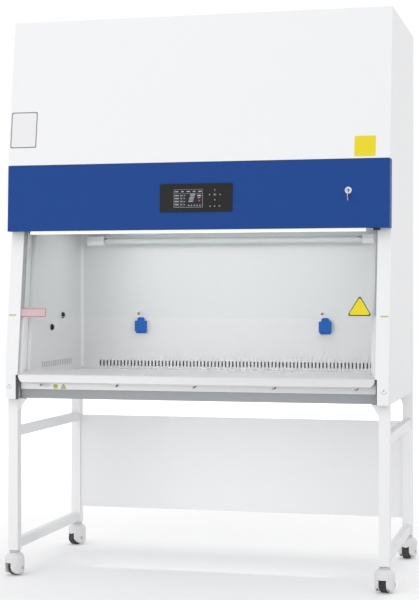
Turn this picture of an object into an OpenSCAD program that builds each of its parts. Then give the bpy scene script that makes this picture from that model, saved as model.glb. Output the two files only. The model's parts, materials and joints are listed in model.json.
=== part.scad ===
// Class II biosafety cabinet on a wheeled stand.
// Millimetres, +Z up, the front faces -Y, the origin is on the floor under the middle of the plan.

/* [Casing] */
// Width over the side panels
body_w = 1500; // [1300:10:1700]
// Depth from the front foot to the rear cover
body_d = 820; // [780:5:880]
// Height of the casing from its underside to its top
case_h = 1486; // [1440:2:1560]
// Thickness of the casing sheet
sheet = 1.5; // [1:0.1:2]
// Lean of the columns and the sash from the vertical, degrees
front_lean = 7.8; // [6:0.1:9]
// Height of the upright front below the lean
apron_h = 95; // [88:1:105]
// Height of the front opening's head above the casing's underside
head_h = 655; // [640:1:670]
// Height of the control fascia
fascia_h = 258; // [240:1:280]
// How far the fascia's lower edge stands in front of the columns
fascia_reach = 50; // [40:1:58]
// Lean of the fascia, degrees
fascia_lean = 2; // [0:0.5:3]
// Lean of the upper front panel, degrees
crown_lean = 8; // [6:0.5:9]
// Width of a column's front face
col_face = 50; // [46:1:56]
// Depth of a column
col_d = 70; // [66:1:76]

/* [Work zone] */
// Space between the casing's side and the liner's side wall
side_gap = 75; // [70:1:110]
// Height of the work surface above the casing's underside
work_h = 85; // [78:1:88]
// Space between the liner's back wall and the rear cover
duct_d = 118; // [100:1:135]
// Thickness of the liner sheet
liner_t = 1.2; // [1:0.1:1.5]
// Width of one return slot in the back wall
slot_w = 6; // [4:0.5:8]
// Height of a return slot
slot_h = 24; // [20:1:30]
// Distance from one return slot to the next
slot_pitch = 15.5; // [13:0.5:24]
// Height of the socket centres above the work surface
socket_h = 191; // [150:1:230]
// Distance of each socket from the liner's side wall
socket_inset = 275; // [200:5:350]

/* [Sash] */
// Thickness of the sash glass
glass_t = 6; // [5:0.5:6.5]
// Length of the sash glass along the lean
glass_l = 585; // [570:1:600]
// Opening under the sash at rest, along the lean
rest_gap = 230; // [220:1:240]
// Radius of the belt pulleys
pulley_r = 14; // [12:0.5:15]
// Radius of the drive shaft
shaft_r = 8; // [6:0.5:9]
// Running clearance of every shaft in its bore, on the radius
run = 0.05; // [0.02:0.01:0.1]

/* [Air] */
// Diameter of the blower's impeller
impeller_d = 355; // [315:5:380]
// Number of impeller blades
blade_n = 7; // [5:1:9]
// Depth of the supply filter
filter_h = 70; // [60:1:80]
// Outside radius of the exhaust collar
collar_r = 125; // [100:1:130]
// Height of the exhaust collar above the top
collar_h = 60; // [50:1:70]

/* [Stand] */
// Height of the casing's underside above the floor
stand_h = 697; // [650:1:750]
// Width of the square leg tube
leg = 40; // [38:1:50]
// Wall of the leg tube
leg_wall = 2; // [1.5:0.5:3]
// How far the front legs stand behind the casing's front foot
leg_inset = 30; // [20:1:40]
// Height of the middle of the upper side rail
upper_rail = 566; // [520:1:590]
// Height of the middle of the lower side rail
lower_rail = 124; // [124:1:160]
// Height of the side rails
rail_h = 36; // [30:1:38]
// Height of the back panel's lower edge
skirt_z = 171; // [150:1:220]
// Height of the back panel
skirt_h = 402; // [350:1:420]

/* [Casters] */
// Height from the floor to the leg's foot
caster_h = 100; // [96:1:110]
// Radius of the wheel
wheel_r = 32; // [28:0.5:33]
// Width of the wheel
wheel_w = 28; // [24:1:30]
// Distance from the swivel axis to the axle
trail = 8; // [4:1:12]
// Radius of the hood over the wheel
hood_r = 38; // [37:0.5:40]
// Angle that the left casters are turned at rest, degrees
turn_left = 28; // [0:1:30]
// Angle that the right casters are turned at rest, degrees
turn_right = 10; // [0:1:30]

/* [Controls] */
// Width of the control plate
plate_w = 284; // [270:2:300]
// Height of the control plate
plate_h = 108; // [106:1:126]
// Diameter of a key
key_d = 13; // [10:0.5:14]
// Travel of a key
key_travel = 0.6; // [0.4:0.1:1]

/* [Hidden] */

// ---- Places worked out from the sizes above ----
half_w = body_w / 2;
front_y = -body_d / 2;
rear_y = body_d / 2;
knee_z = stand_h + apron_h;
neck_z = stand_h + head_h;
brow_z = neck_z + fascia_h;
top_z = stand_h + case_h;
neck_y = front_y + (neck_z - knee_z) * tan(front_lean);
lip_y = neck_y - fascia_reach;
brow_y = lip_y + fascia_h * tan(fascia_lean);
crown_y = brow_y + (top_z - brow_z) * tan(crown_lean);
col_in = half_w - sheet;
face_in = half_w - col_face;
flange_in = face_in - 10;
guide_gap = 8;
glass_y = guide_gap + 1;
glass_half = face_in + 15;
belt_x = (col_in + face_in) / 2 + 9;
belt_w = 10;
belt_t = 2;
drive_y = 41;
drive_u = 1098;
idler_u = 28;
guide_top = knee_z + drive_u * cos(front_lean) + 45;
work_z = stand_h + work_h;
liner_x = half_w - side_gap;
socket_x = liner_x - socket_inset;
back_y = rear_y - duct_d;
roof_z = neck_z + 36;
filter_z = roof_z + 4;
plenum_z = filter_z + filter_h;
plenum_top = plenum_z + 400;
plenum_x = liner_x - 15;
plenum_front = neck_y + 165;
plenum_back = rear_y - 40;
fan_x = -0.44 * half_w;
fan_y = (plenum_front + plenum_back) / 2;
vent_x = 0.44 * half_w;
vent_y = rear_y - 235;
slot_z = work_z + 14;
socket_z = work_z + socket_h;
leg_top = stand_h;
leg_front_y = front_y + leg_inset;
leg_x = half_w - leg / 2;
leg_y0 = leg_front_y + leg / 2;
leg_y1 = rear_y - leg / 2;
fit_gap = 0.3;

// ---- Shared shapes ----
function unit(v) = v / norm(v);
function left_of(v) = [-v.y, v.x];
// Normal at point i of a bent line, stretched so that both legs keep their thickness.
function miter(p, i) = let(
        a = i > 0 ? unit(p[i] - p[i - 1]) : unit(p[1] - p[0]),
        b = i < len(p) - 1 ? unit(p[i + 1] - p[i]) : a,
        n = unit(left_of(a) + left_of(b))) n / (n * left_of(a));
// Outline of a bent sheet: the line p, then the same line moved by t to its left.
function ribbon(p, t) = concat(p, [for (i = [len(p) - 1:-1:0]) p[i] + t * miter(p, i)]);
function arc(c, r, a0, a1, n) = [for (i = [0:n]) c + r * [cos(a0 + (a1 - a0) * i / n), sin(a0 + (a1 - a0) * i / n)]];

// A (y, z) outline carried along X from x0 to x1.
module along_x(x0, x1) {
    translate([x0, 0, 0]) rotate([90, 0, 90]) linear_extrude(x1 - x0) children();
}
module box(lo, hi) {
    translate(lo) cube(hi - lo);
}
module rod_x(x0, x1, r, y, z) {
    translate([x0, y, z]) rotate([0, 90, 0]) cylinder(r = r, h = x1 - x0, $fn = 48);
}
// Frame of the lean: its origin is the knee of the column, its Z runs up the column.
module on_lean() {
    translate([0, front_y, knee_z]) rotate([-front_lean, 0, 0]) children();
}
module mirrored() {
    children();
    mirror([1, 0, 0]) children();
}
module rounded(w, h, r) {
    hull() for (x = [r - w / 2, w / 2 - r], y = [r - h / 2, h / 2 - r]) translate([x, y]) circle(r, $fn = 32);
}

// ---- Casing ----
wrap = fascia_reach + 12;
// The notch above the neck takes the fascia's ends.
function side_outline() = [[front_y, stand_h], [front_y, knee_z], [neck_y, neck_z], [lip_y + wrap + 0.5, neck_z],
    [brow_y + wrap + 0.5, brow_z], [brow_y, brow_z], [crown_y, top_z], [rear_y, top_z], [rear_y, stand_h]];

module side_panel() {
    hem = 14;
    color("#f2f3f4") {
        along_x(-half_w, -half_w + sheet) polygon(side_outline());
        // Folded hem along the underside and round the rear edge.
        box([-half_w + sheet, leg_front_y, stand_h], [-half_w + sheet + hem, rear_y - sheet, stand_h + sheet]);
        box([-half_w + sheet, rear_y - hem - sheet, stand_h + sheet],
            [-half_w + 2 * sheet, rear_y - sheet, top_z - 2 * sheet - 1]);
    }
}
module side_panel_left() { side_panel(); }
module side_panel_right() { mirror([1, 0, 0]) side_panel(); }

module rear_cover() {
    inner = half_w - 2 * sheet - fit_gap;
    color("#eceeee") difference() {
        union() {
            box([-half_w + sheet, rear_y - sheet, stand_h], [half_w - sheet, rear_y, top_z - sheet]);
            for (z = [stand_h + 240, stand_h + 720, stand_h + 1200])
                box([-inner, rear_y - 11, z], [inner, rear_y - sheet, z + 22]);
        }
        // Screw holes along both edges.
        for (x = [-half_w + 30, half_w - 30], z = [stand_h + 60:228:top_z - 60])
            translate([x, rear_y + 1, z]) rotate([90, 0, 0]) cylinder(d = 5, h = 4, $fn = 24);
    }
}

module top_panel() {
    color("#eef0f0") difference() {
        union() {
            box([-half_w + sheet, crown_y + sheet + 1, top_z - sheet], [half_w - sheet, rear_y, top_z]);
            mirrored() box([half_w - 2 * sheet, crown_y + 30, top_z - 26], [half_w - sheet, rear_y - 20, top_z - sheet]);
        }
        translate([vent_x, vent_y, top_z - 5]) cylinder(r = collar_r - 2, h = 10, $fn = 96);
    }
}

module front_upper_panel() {
    back = 26;
    color("#f7f8f9") {
        along_x(-half_w + sheet, half_w - sheet)
            polygon(ribbon([[crown_y + back, top_z - sheet], [crown_y, top_z - sheet],
                [brow_y + 0.3, brow_z + 0.5], [brow_y + back, brow_z + 0.5]], sheet));
        mirrored() along_x(half_w - 2 * sheet, half_w - sheet)
            polygon([[crown_y + sheet, top_z - 2 * sheet], [crown_y + back, top_z - 2 * sheet],
                [brow_y + back, brow_z + 2 * sheet], [brow_y + 2 * sheet, brow_z + 2 * sheet]]);
    }
}

plate_x = 13;
plate_z = neck_z + 121;
lock_x = half_w - 154;
lock_z = neck_z + 140;
function fascia_y(z) = lip_y + (z - neck_z) * tan(fascia_lean);
// Frame on the fascia's outer face at height z above its lower edge: its Z points out to the front.
module on_fascia(x, z) {
    translate([x, fascia_y(z), z]) rotate([90 - fascia_lean, 0, 0]) children();
}
module control_fascia() {
    tuck = 34;
    color("#2c5096") difference() {
        union() {
            along_x(-half_w, half_w)
                polygon(ribbon([[brow_y + tuck, brow_z - 1], [brow_y, brow_z - 1], [lip_y, neck_z],
                    [lip_y + tuck, neck_z]], sheet));
            // Ends that lap the notches in the casing's sides.
            mirrored() along_x(half_w - sheet, half_w)
                polygon([[lip_y, neck_z], [lip_y + wrap, neck_z], [brow_y + wrap, brow_z - 1], [brow_y, brow_z - 1]]);
        }
        on_fascia(plate_x, plate_z) translate([0, 0, -10]) linear_extrude(20) rounded(plate_w - 24, plate_h - 24, 4);
        on_fascia(lock_x, lock_z) translate([0, 0, -10]) cylinder(r = 9.6, h = 20, $fn = 48);
    }
}

// ---- Columns ----
// Section of the left column seen from above: x to the right, y into the casing.
function column_section() = [[-col_in, 0], [-face_in, 0], [-face_in, guide_gap], [-face_in - sheet, guide_gap],
    [-face_in - sheet, sheet], [-col_in + sheet, sheet], [-col_in + sheet, col_d - sheet],
    [-flange_in - sheet, col_d - sheet], [-flange_in - sheet, glass_y + glass_t + 4 + sheet],
    [-face_in - 17, glass_y + glass_t + 4 + sheet], [-face_in - 17, glass_y + glass_t + 4],
    [-flange_in, glass_y + glass_t + 4], [-flange_in, col_d], [-col_in, col_d]];

module column() {
    foot_w = 43;
    color("#f3f4f5") {
        difference() {
            intersection() {
                on_lean() translate([0, 0, -60]) linear_extrude(1400) polygon(column_section());
                box([-half_w, front_y - 10, knee_z], [half_w, rear_y, guide_top]);
            }
            // Way for the drive shaft through the inner flange.
            on_lean() rod_x(-face_in - 5, -flange_in + 5, shaft_r + 4, drive_y, drive_u);
        }
        // Pin that carries the lower belt idler.
        on_lean() rod_x(-col_in + sheet, -belt_x + belt_w / 2 + 5, 5, drive_y, idler_u);
        // Upright foot below the lean, open at the back.
        box([-col_in, front_y, stand_h], [-half_w + foot_w, front_y + sheet, knee_z]);
        box([-half_w + foot_w - sheet, front_y + sheet, stand_h], [-half_w + foot_w, leg_front_y + leg, knee_z - 14]);
    }
}
module column_left() { column(); }
module column_right() { mirror([1, 0, 0]) column(); }

// ---- Front edge and tray ----
arm_half = face_in - 1.5;
arm_lo = stand_h + 67;
arm_hi = stand_h + 98;
arm_back = front_y + 84;
arm_top = work_z + 30;
module armrest() {
    profile = [[front_y + 9, arm_lo - 5], [front_y + 1.5, arm_lo], [front_y + 5, arm_hi - 4],
        [front_y + 9, arm_hi], [arm_back, arm_top], [arm_back + 3, arm_top - 8]];
    color("#e9ebec") {
        difference() {
            along_x(-arm_half, arm_half) polygon(ribbon(profile, -sheet));
            // Notches round the columns' flanges and the liner's side walls.
            mirrored() {
                box([flange_in - 1, front_y + 14, arm_hi - 12], [arm_half + 1, arm_back + 10, arm_top + 4]);
                box([liner_x - 1, front_y + 60, arm_hi - 12], [arm_half + 1, arm_back + 10, arm_top + 4]);
            }
            // Rounded lower corners of the front face.
            mirrored() difference() {
                box([arm_half - 33, front_y, arm_lo - 6], [arm_half + 1, front_y + 10.5, arm_lo + 27]);
                translate([arm_half - 33, front_y - 1, arm_lo + 27]) rotate([-90, 0, 0]) cylinder(r = 33, h = 13, $fn = 64);
            }
        }
        // Hooked brackets that hold the armrest off the sill.
        for (i = [-2:2]) translate([i * 0.44 * face_in, 0, 0]) intersection() {
            along_x(-3, 3) polygon(ribbon([[sill_y + 1, arm_lo - 18], [front_y + 12, arm_lo - 14],
                [front_y + 10, arm_lo + 2], [front_y + 16, arm_hi - 6], [sill_y + 1, arm_hi - 2]], -2.5));
            box([-3, front_y, arm_lo - 20], [3, sill_y, arm_hi]);
        }
    }
}

sill_y = front_y + 36;
module front_sill() {
    color("#d9dcde") difference() {
        along_x(-arm_half, arm_half)
            polygon(ribbon([[sill_y + 26, stand_h + 38], [sill_y, stand_h + 38], [sill_y, arm_lo + 4],
                [sill_y + 10, arm_hi - 6], [sill_y + 40, arm_hi - 2], [sill_y + 40, work_z - 20],
                [tray_front + 16, work_z - 20]], -sheet));
        // Notches round the columns' flanges and the liner's side walls.
        mirrored() {
            box([flange_in - 1, sill_y + 4, arm_hi - 9], [arm_half + 1, front_y + 62, arm_hi]);
            box([liner_x - 1, front_y + 60, stand_h + 45], [arm_half + 1, tray_front + 20, arm_hi]);
        }
    }
}

module bottom_pan() {
    front = sill_y + 9;
    wall = work_z - 30;
    color("#a3a6a9") {
        along_x(-half_w + 2 * sheet, half_w - 2 * sheet) polygon(ribbon([[leg_front_y + leg + 20, stand_h + sheet],
            [rear_y - 14 - sheet, stand_h + sheet], [rear_y - 14 - sheet, wall]], sheet));
        // Front beam of folded sheet between the feet.
        along_x(-arm_half, arm_half) polygon(ribbon([[leg_front_y + leg + 20, stand_h + sheet],
            [front, stand_h + sheet], [front, stand_h + 37]], -sheet));
    }
}

tray_front = arm_back + 5;
tray_back = back_y - 2;
module work_tray() {
    n = floor((2 * liner_x - 60) / 22);
    t = 1.5;
    color("#dfe2e4") difference() {
        along_x(-liner_x + 2, liner_x - 2)
            polygon(ribbon([[tray_front, work_z - 20], [tray_front, arm_top - 8], [tray_front + 50, arm_top - 8],
                [tray_front + 62, work_z], [tray_back, work_z], [tray_back, work_z - 20]], -t));
        // Front return grille: a row of slots across the raised strip.
        for (i = [0:n - 1], j = [0:1])
            box([-(n - 1) * 11 + i * 22 - 7, tray_front + 8 + j * 21, arm_top - 14],
                [-(n - 1) * 11 + i * 22 + 7, tray_front + 22 + j * 21, arm_top - 4]);
    }
}

// ---- Liner ----
module liner_back() {
    n = floor((2 * liner_x - 150) / slot_pitch / 2) * 2;
    color("#d5d8da") difference() {
        union() {
            along_x(-liner_x, liner_x) polygon(ribbon([[back_y, stand_h + 20], [back_y, roof_z - 1.5],
                [back_y + 20, roof_z - 1.5]], -liner_t));
            // Ledge under the rear edge of the work tray.
            box([-liner_x + 10, back_y - 12, work_z - 22], [liner_x - 10, back_y, work_z - 20]);
        }
        for (i = [0:n]) translate([(i - n / 2) * slot_pitch, back_y, slot_z + slot_h / 2])
            rotate([90, 0, 0]) linear_extrude(10, center = true) square([slot_w, slot_h], center = true);
        for (s = [-1, 1]) box([s * socket_x - 22, back_y - 5, socket_z - 27], [s * socket_x + 22, back_y + 5, socket_z + 27]);
    }
}

side_front = neck_y + col_d + 6;
// Outline of a side wall of the work zone, its front edge along the lean.
function liner_outline() = let(d = col_d / cos(front_lean) + 0.5, s = tan(front_lean))
    [[front_y + (work_z - 30 - knee_z) * s + d, work_z - 30], [front_y + (roof_z - 1.5 - knee_z) * s + d, roof_z - 1.5],
        [back_y - fit_gap, roof_z - 1.5], [back_y - fit_gap, work_z - 30]];
ports = [[back_y - 248, stand_h + 321], [back_y - 381, stand_h + 274]];
port_r = 13;
module liner_side() {
    color("#c9ccce") difference() {
        union() {
            along_x(-liner_x - liner_t, -liner_x) polygon(liner_outline());
            // Turned edge that closes the gap to the column.
            along_x(-flange_in + 0.2, -liner_x - liner_t) let(o = liner_outline(), d = [3, 0])
                polygon([o[0], o[1], o[1] + d, o[0] + d]);
        }
        for (i = [0:16]) box([-liner_x - 5, back_y - 490 + i * slot_pitch * 1.4, slot_z + 14],
            [-liner_x + 5, back_y - 490 + i * slot_pitch * 1.4 + slot_w, slot_z + 14 + slot_h]);
        children();
    }
}
module liner_left() {
    liner_side() for (p = ports) rod_x(-liner_x - 6, -liner_x + 6, port_r - 2, p.x, p.y);
}
module liner_right() { mirror([1, 0, 0]) liner_side(); }

module service_ports() {
    color("#202224") for (p = ports) {
        rod_x(-liner_x, -liner_x + 4, port_r, p.x, p.y);
        rod_x(-liner_x - 14, -liner_x + 9, port_r - 4, p.x, p.y);
    }
}

// ---- Lamps and sockets ----
uv_y = back_y - 36;
uv_z = neck_z - 19;
uv_half = 565;
module uv_lamp() {
    color("#eef4f6") rod_x(-uv_half, uv_half, 13, uv_y, uv_z);
}
module lamp_holders() {
    len = 74;
    color("#f4f5f5") mirrored() difference() {
        along_x(uv_half - 6, uv_half - 6 + len)
            polygon(concat(arc([uv_y, uv_z], 18, -60, -180, 10), [[uv_y - 12, uv_z + 20], [back_y, uv_z + 20], [back_y, uv_z - 14]]));
        rod_x(uv_half - 10, uv_half, 13 + run, uv_y, uv_z);
    }
}
module work_lamp() {
    y = neck_y + 4;
    color("#f7f9fa") along_x(-face_in + 40, face_in - 40)
        polygon([[lip_y + 12, neck_z], [y - 24, neck_z], [y - 24, neck_z - 9],
            [y - 28, neck_z - 12], [lip_y + 16, neck_z - 12], [lip_y + 12, neck_z - 9]]);
}
module socket_boxes() {
    color("#e6e8ea") for (s = [-1, 1]) translate([s * socket_x, back_y, socket_z]) rotate([90, 0, 0]) difference() {
        union() {
            translate([0, 0, 0]) linear_extrude(9) rounded(54, 52, 5);
            translate([0, 0, -40]) linear_extrude(40) square([42, 52], center = true);
        }
        // Plug well with two round contact holes behind it.
        translate([0, 0, -14]) cylinder(r = 18, h = 30, $fn = 64);
        for (x = [-9.5, 9.5]) translate([x, 0, -32]) cylinder(r = 2.4, h = 30, $fn = 32);
    }
    for (s = [-1, 1]) socket_hinge(s);
}
hinge_z = socket_z + 30;
hinge_y = back_y - 14;
module socket_cover(s) {
    color("#2d64b9") translate([s * socket_x, 0, 0]) {
        difference() {
            along_x(-27, 27) polygon(ribbon([[hinge_y - 4.4, hinge_z + 0.5], [hinge_y - 6, hinge_z - 8],
                [hinge_y - 8, hinge_z - 54], [hinge_y - 4, hinge_z - 62], [hinge_y + 5, hinge_z - 62]], -3));
            mirrored() translate([27, hinge_y + 10, hinge_z - 62]) rotate([90, 0, 0]) cylinder(r = 7, h = 40, $fn = 4);
            // Shoulders below the neck that carries the knuckle.
            mirrored() translate([0, hinge_y + 10, hinge_z]) rotate([90, 0, 0]) linear_extrude(40)
                polygon([[15.5, 2], [15.5, -8], [19, -11.5], [28, -11.5], [28, 2]]);
        }
        // Knuckle between the two ears of the hinge.
        difference() {
            union() {
                rod_x(-12, 12, 3.8, hinge_y, hinge_z);
                box([-12, hinge_y - 6, hinge_z - 4], [12, hinge_y - 2, hinge_z + 1.5]);
            }
            rod_x(-13, 13, 1.5 + run, hinge_y, hinge_z);
        }
    }
}
module socket_hinge(s) {
    color("#2a5cab") translate([s * socket_x, 0, 0]) {
        rod_x(-17, 17, 1.5, hinge_y, hinge_z);
        mirrored() difference() {
            union() {
                rod_x(12.4, 17, 3.8, hinge_y, hinge_z);
                box([12.4, hinge_y, hinge_z - 3.8], [17, back_y, hinge_z + 3.8]);
            }
            rod_x(12, 18, 1.49, hinge_y, hinge_z);
        }
    }
}
module socket_cover_left() { socket_cover(-1); }
module socket_cover_right() { socket_cover(1); }

// ---- Air path ----
// A pleated pack inside a folded frame, the pleats running along Y.
module filter(lo, hi, pitch, wall = 12) {
    n = floor((hi.x - lo.x - 2 * wall) / pitch / 2) * 2;
    x0 = (lo.x + hi.x) / 2 - n * pitch / 2;
    z0 = lo.z + 6;
    z1 = hi.z - 6;
    difference() {
        box(lo, hi);
        box([lo.x + wall, lo.y + wall, lo.z - 1], [hi.x - wall, hi.y - wall, hi.z + 1]);
    }
    zig = [for (i = [0:n]) [x0 + i * pitch, i % 2 == 0 ? z0 : z1 - 2.5]];
    translate([0, hi.y - wall, 0]) rotate([90, 0, 0]) linear_extrude(hi.y - lo.y - 2 * wall)
        polygon(concat(zig, [for (i = [n:-1:0]) zig[i] + [0, 2.5]]));
    mirror_x = [lo.x + wall, hi.x - wall];
    for (k = [0, 1]) box([k == 0 ? mirror_x[0] : x0 + n * pitch - 1, lo.y + wall, z0],
        [k == 0 ? x0 + 1 : mirror_x[1], hi.y - wall, z0 + 2.5]);
}
module supply_filter() {
    color("#cfd3d6") filter([-plenum_x, plenum_front, filter_z], [plenum_x, back_y - 6, plenum_z], 24);
}
module flow_diffuser() {
    color("#e3e6e8") difference() {
        box([-liner_x + 2, plenum_front, roof_z], [liner_x - 2, back_y - fit_gap, filter_z]);
        box([-liner_x + 14, plenum_front + 12, roof_z + 1.5], [liner_x - 14, back_y - 12, filter_z + 1]);
        for (i = [-12:12], j = [0:3]) box([i * 52 - 21, plenum_front + 30 + j * 105, roof_z - 1],
            [i * 52 + 21, plenum_front + 110 + j * 105, roof_z + 2]);
    }
}
vent_half = [250, 190];
module plenum_box() {
    t = 2;
    inlet_r = impeller_d * 0.32;
    color("#c4c8cb") {
        difference() {
            box([-plenum_x, plenum_front, plenum_z], [plenum_x, plenum_back, plenum_top]);
            box([-plenum_x + t, plenum_front + t, plenum_z - 1], [plenum_x - t, plenum_back - t, plenum_top - t]);
            translate([fan_x, fan_y, plenum_top - 5]) cylinder(r = inlet_r + 6, h = 10, $fn = 96);
            box([vent_x - vent_half.x + 15, vent_y - vent_half.y + 15, plenum_top - 5],
                [vent_x + vent_half.x - 15, vent_y + vent_half.y - 15, plenum_top + 5]);
        }
        // Floor strip behind the supply filter.
        box([-plenum_x + t, back_y - 5, plenum_z], [plenum_x - t, plenum_back - t, plenum_z + t]);
        // Bell mouth that leads the air into the impeller's eye.
        translate([fan_x, fan_y, plenum_top]) rotate_extrude($fn = 96)
            polygon(concat([[inlet_r + 26, 0]], [[inlet_r + 26, 3]], arc([inlet_r + 22, -22], 25, 90, 180, 8),
                [[inlet_r - 3, -34], [inlet_r - 1, -34]], arc([inlet_r + 22, -22], 23, 180, 95, 8), [[inlet_r + 8, 0]]));
        // Hangers from the casing's sides.
        mirrored() for (y = [plenum_front + 40, plenum_back - 60])
            along_x(plenum_x, half_w - sheet) polygon([[y, plenum_top - 40], [y + 20, plenum_top - 40],
                [y + 20, plenum_top - 37], [y, plenum_top - 37]]);
    }
}
eye_z = plenum_top - 30;
wheel_h = impeller_d * 0.366;
hub_z = eye_z - wheel_h;
// One blade, a thin arc that leans back from the direction of turning.
module blade() {
    r0 = impeller_d * 0.34;
    r1 = impeller_d / 2 - 2;
    sweep = 55;
    n = 12;
    line = [for (i = [0:n]) let(t = i / n, r = r0 + (r1 - r0) * t, a = -sweep * pow(t, 0.85)) r * [cos(a), sin(a)]];
    linear_extrude(eye_z - hub_z - 8) polygon(ribbon(line, 1.6));
}
module impeller() {
    r = impeller_d / 2;
    eye = impeller_d * 0.32 + 4;
    color("#7d8286") translate([fan_x, fan_y, 0]) {
        translate([0, 0, hub_z + 2]) for (i = [0:blade_n - 1]) rotate([0, 0, i * 360 / blade_n]) blade();
        // Back plate with its dished hub.
        translate([0, 0, hub_z]) rotate_extrude($fn = 96)
            polygon([[8 + run, -6], [26, -6], [26, 0], [r, 0], [r, 2.5], [60, 2.5], [34, 22], [8 + run, 22]]);
        // Shroud that flares from the eye to the rim.
        translate([0, 0, eye_z - 10]) rotate_extrude($fn = 96)
            polygon(concat([[r, 0], [r, 2]], arc([eye + 42, 42], 40, -90, -168, 8), arc([eye + 42, 42], 42, -168, -90, 8)));
    }
}
module blower_motor() {
    color("#54585c") translate([fan_x, fan_y, 0]) {
        translate([0, 0, hub_z - 100]) rotate_extrude($fn = 96)
            polygon([[0, 0], [52, 0], [58, 6], [58, 78], [50, 90], [20, 90], [20, 93.7], [8, 93.7], [8, 120], [0, 120]]);
        // Cooling ribs round the can.
        for (i = [0:23]) rotate([0, 0, i * 15]) box([57, -1.2, hub_z - 90], [63, 1.2, hub_z - 26]);
    }
    // Bridge that carries the motor between the plenum's walls.
    color("#54585c") for (s = [-1, 1]) translate([fan_x, 0, 0])
        along_x(s * 44 - 14, s * 44 + 14) polygon([[plenum_front + 2, hub_z - 124], [plenum_back - 2, hub_z - 124],
            [plenum_back - 2, hub_z - 80], [plenum_back - 4, hub_z - 80], [plenum_back - 4, hub_z - 100],
            [plenum_front + 4, hub_z - 100], [plenum_front + 4, hub_z - 80], [plenum_front + 2, hub_z - 80]]);
}
module exhaust_filter() {
    color("#cfd3d6") filter([vent_x - vent_half.x, vent_y - vent_half.y, plenum_top],
        [vent_x + vent_half.x, vent_y + vent_half.y, top_z - sheet - 2], 20);
}
guard_pitch = collar_r / 5.2;
module exhaust_collar() {
    color("#dfe2e4") {
        translate([vent_x, vent_y, top_z]) difference() {
            rotate_extrude($fn = 128) polygon([[collar_r - 3.7, -1.5], [collar_r - 3.7, 1], [collar_r - 1.5, 3],
                [collar_r - 1.5, collar_h], [collar_r, collar_h],
                [collar_r, 2], [collar_r + 26, 2], [collar_r + 26, 0], [collar_r - 2.2, 0], [collar_r - 2.2, -1.5]]);
            for (i = [0:7]) rotate([0, 0, i * 45 + 22.5]) translate([collar_r + 14, 0, -1]) cylinder(r = 2.6, h = 5, $fn = 24);
        }
        // Guard bars across the mouth, their ends let into the collar's wall.
        translate([vent_x, vent_y, top_z + 20]) intersection() {
            union() {
                for (i = [-4:4]) box([i * guard_pitch - 1.5, -collar_r, 0], [i * guard_pitch + 1.5, collar_r, 3]);
                box([-collar_r, -2, 2], [collar_r, 2, 6]);
            }
            cylinder(r = collar_r - 0.7, h = 10, $fn = 128);
        }
    }
}

// ---- Sash and its drive ----
sash_top = rest_gap + glass_l;
module sash_glass() {
    color([0.8, 0.9, 0.92, 0.35]) on_lean() difference() {
        box([-glass_half, glass_y, rest_gap], [glass_half, glass_y + glass_t, sash_top]);
        // Ground lower edge.
        for (s = [0, 1]) translate([0, glass_y + s * glass_t, rest_gap]) rotate([45, 0, 0])
            cube([2 * body_w, 1.4, 1.4], center = true);
    }
}
clamp_u = sash_top - 110;
module sash_clamps() {
    block_in = -face_in - 19;
    color("#3a3d40") mirrored() on_lean() difference() {
        translate([0, 0, clamp_u]) linear_extrude(80) polygon([[-belt_x - 9, glass_y - 5], [-face_in - 3, glass_y - 5],
            [-face_in - 3, glass_y], [-glass_half, glass_y], [-glass_half, glass_y + glass_t],
            [-face_in - 5, glass_y + glass_t], [-face_in - 5, glass_y + glass_t + 3.4],
            [block_in, glass_y + glass_t + 3.4], [block_in, drive_y - pulley_r + 6], [-belt_x - 9, drive_y - pulley_r + 6]]);
        // Slot that the belt runs through.
        box([-belt_x - belt_w / 2 - 0.4, drive_y - pulley_r - belt_t - 0.4, clamp_u - 1],
            [-belt_x + belt_w / 2 + 0.4, drive_y - pulley_r + 0.1, clamp_u + 81]);
        // Mouth through which the belt is laid in.
        box([-belt_x - belt_w / 2 + 1, drive_y - pulley_r - 1, clamp_u - 1],
            [-belt_x + belt_w / 2 - 1, drive_y - pulley_r + 7, clamp_u + 81]);
    }
}
// Closed loop round two wheels of radius r, as seen along X.
module loop2d(r) {
    hull() for (u = [idler_u, drive_u]) translate([drive_y, u]) circle(r, $fn = 64);
}
module drive_belts() {
    color("#26282a") mirrored() on_lean() along_x(-belt_x - belt_w / 2, -belt_x + belt_w / 2) difference() {
        loop2d(pulley_r + belt_t);
        loop2d(pulley_r + fit_gap);
    }
}
// Toothed belt wheel with flanges, its width along X.
module belt_wheel(bore) {
    n = 20;
    half = belt_w / 2 + 0.5;
    difference() {
        union() {
            difference() {
                rod_x(-half, half, pulley_r, 0, 0);
                for (i = [0:n - 1]) rotate([i * 360 / n, 0, 0]) rod_x(-half - 1, half + 1, 1, pulley_r + 0.2, 0);
            }
            for (s = [-1, 1]) translate([s * (half + 0.7), 0, 0]) rod_x(-0.9, 0.9, pulley_r + 3.2, 0, 0);
        }
        if (bore > 0) rod_x(-belt_w, belt_w, bore, 0, 0);
    }
}
module drive_shaft() {
    color("#b8bcc0") on_lean() {
        rod_x(-belt_x - 8, belt_x + 8, shaft_r, drive_y, drive_u);
        for (s = [-1, 1]) translate([s * belt_x, drive_y, drive_u]) belt_wheel(0);
    }
}
module belt_idlers() {
    color("#8f9498") on_lean() for (s = [-1, 1]) translate([s * belt_x, drive_y, idler_u]) belt_wheel(5 + run);
}
bearing_r = 19;
module flange_bearing() {
    difference() {
        union() {
            rod_x(-flange_in, -flange_in + 12, bearing_r, drive_y, drive_u);
            along_x(-flange_in, -flange_in + 4) translate([drive_y, drive_u]) rounded(44, 44, 8);
        }
        rod_x(-flange_in - 1, -flange_in + 13, shaft_r + run, drive_y, drive_u);
    }
}
module shaft_bearings() {
    color("#9da2a6") mirrored() on_lean() flange_bearing();
}
gear_x = flange_in - 12 - 52;
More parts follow.
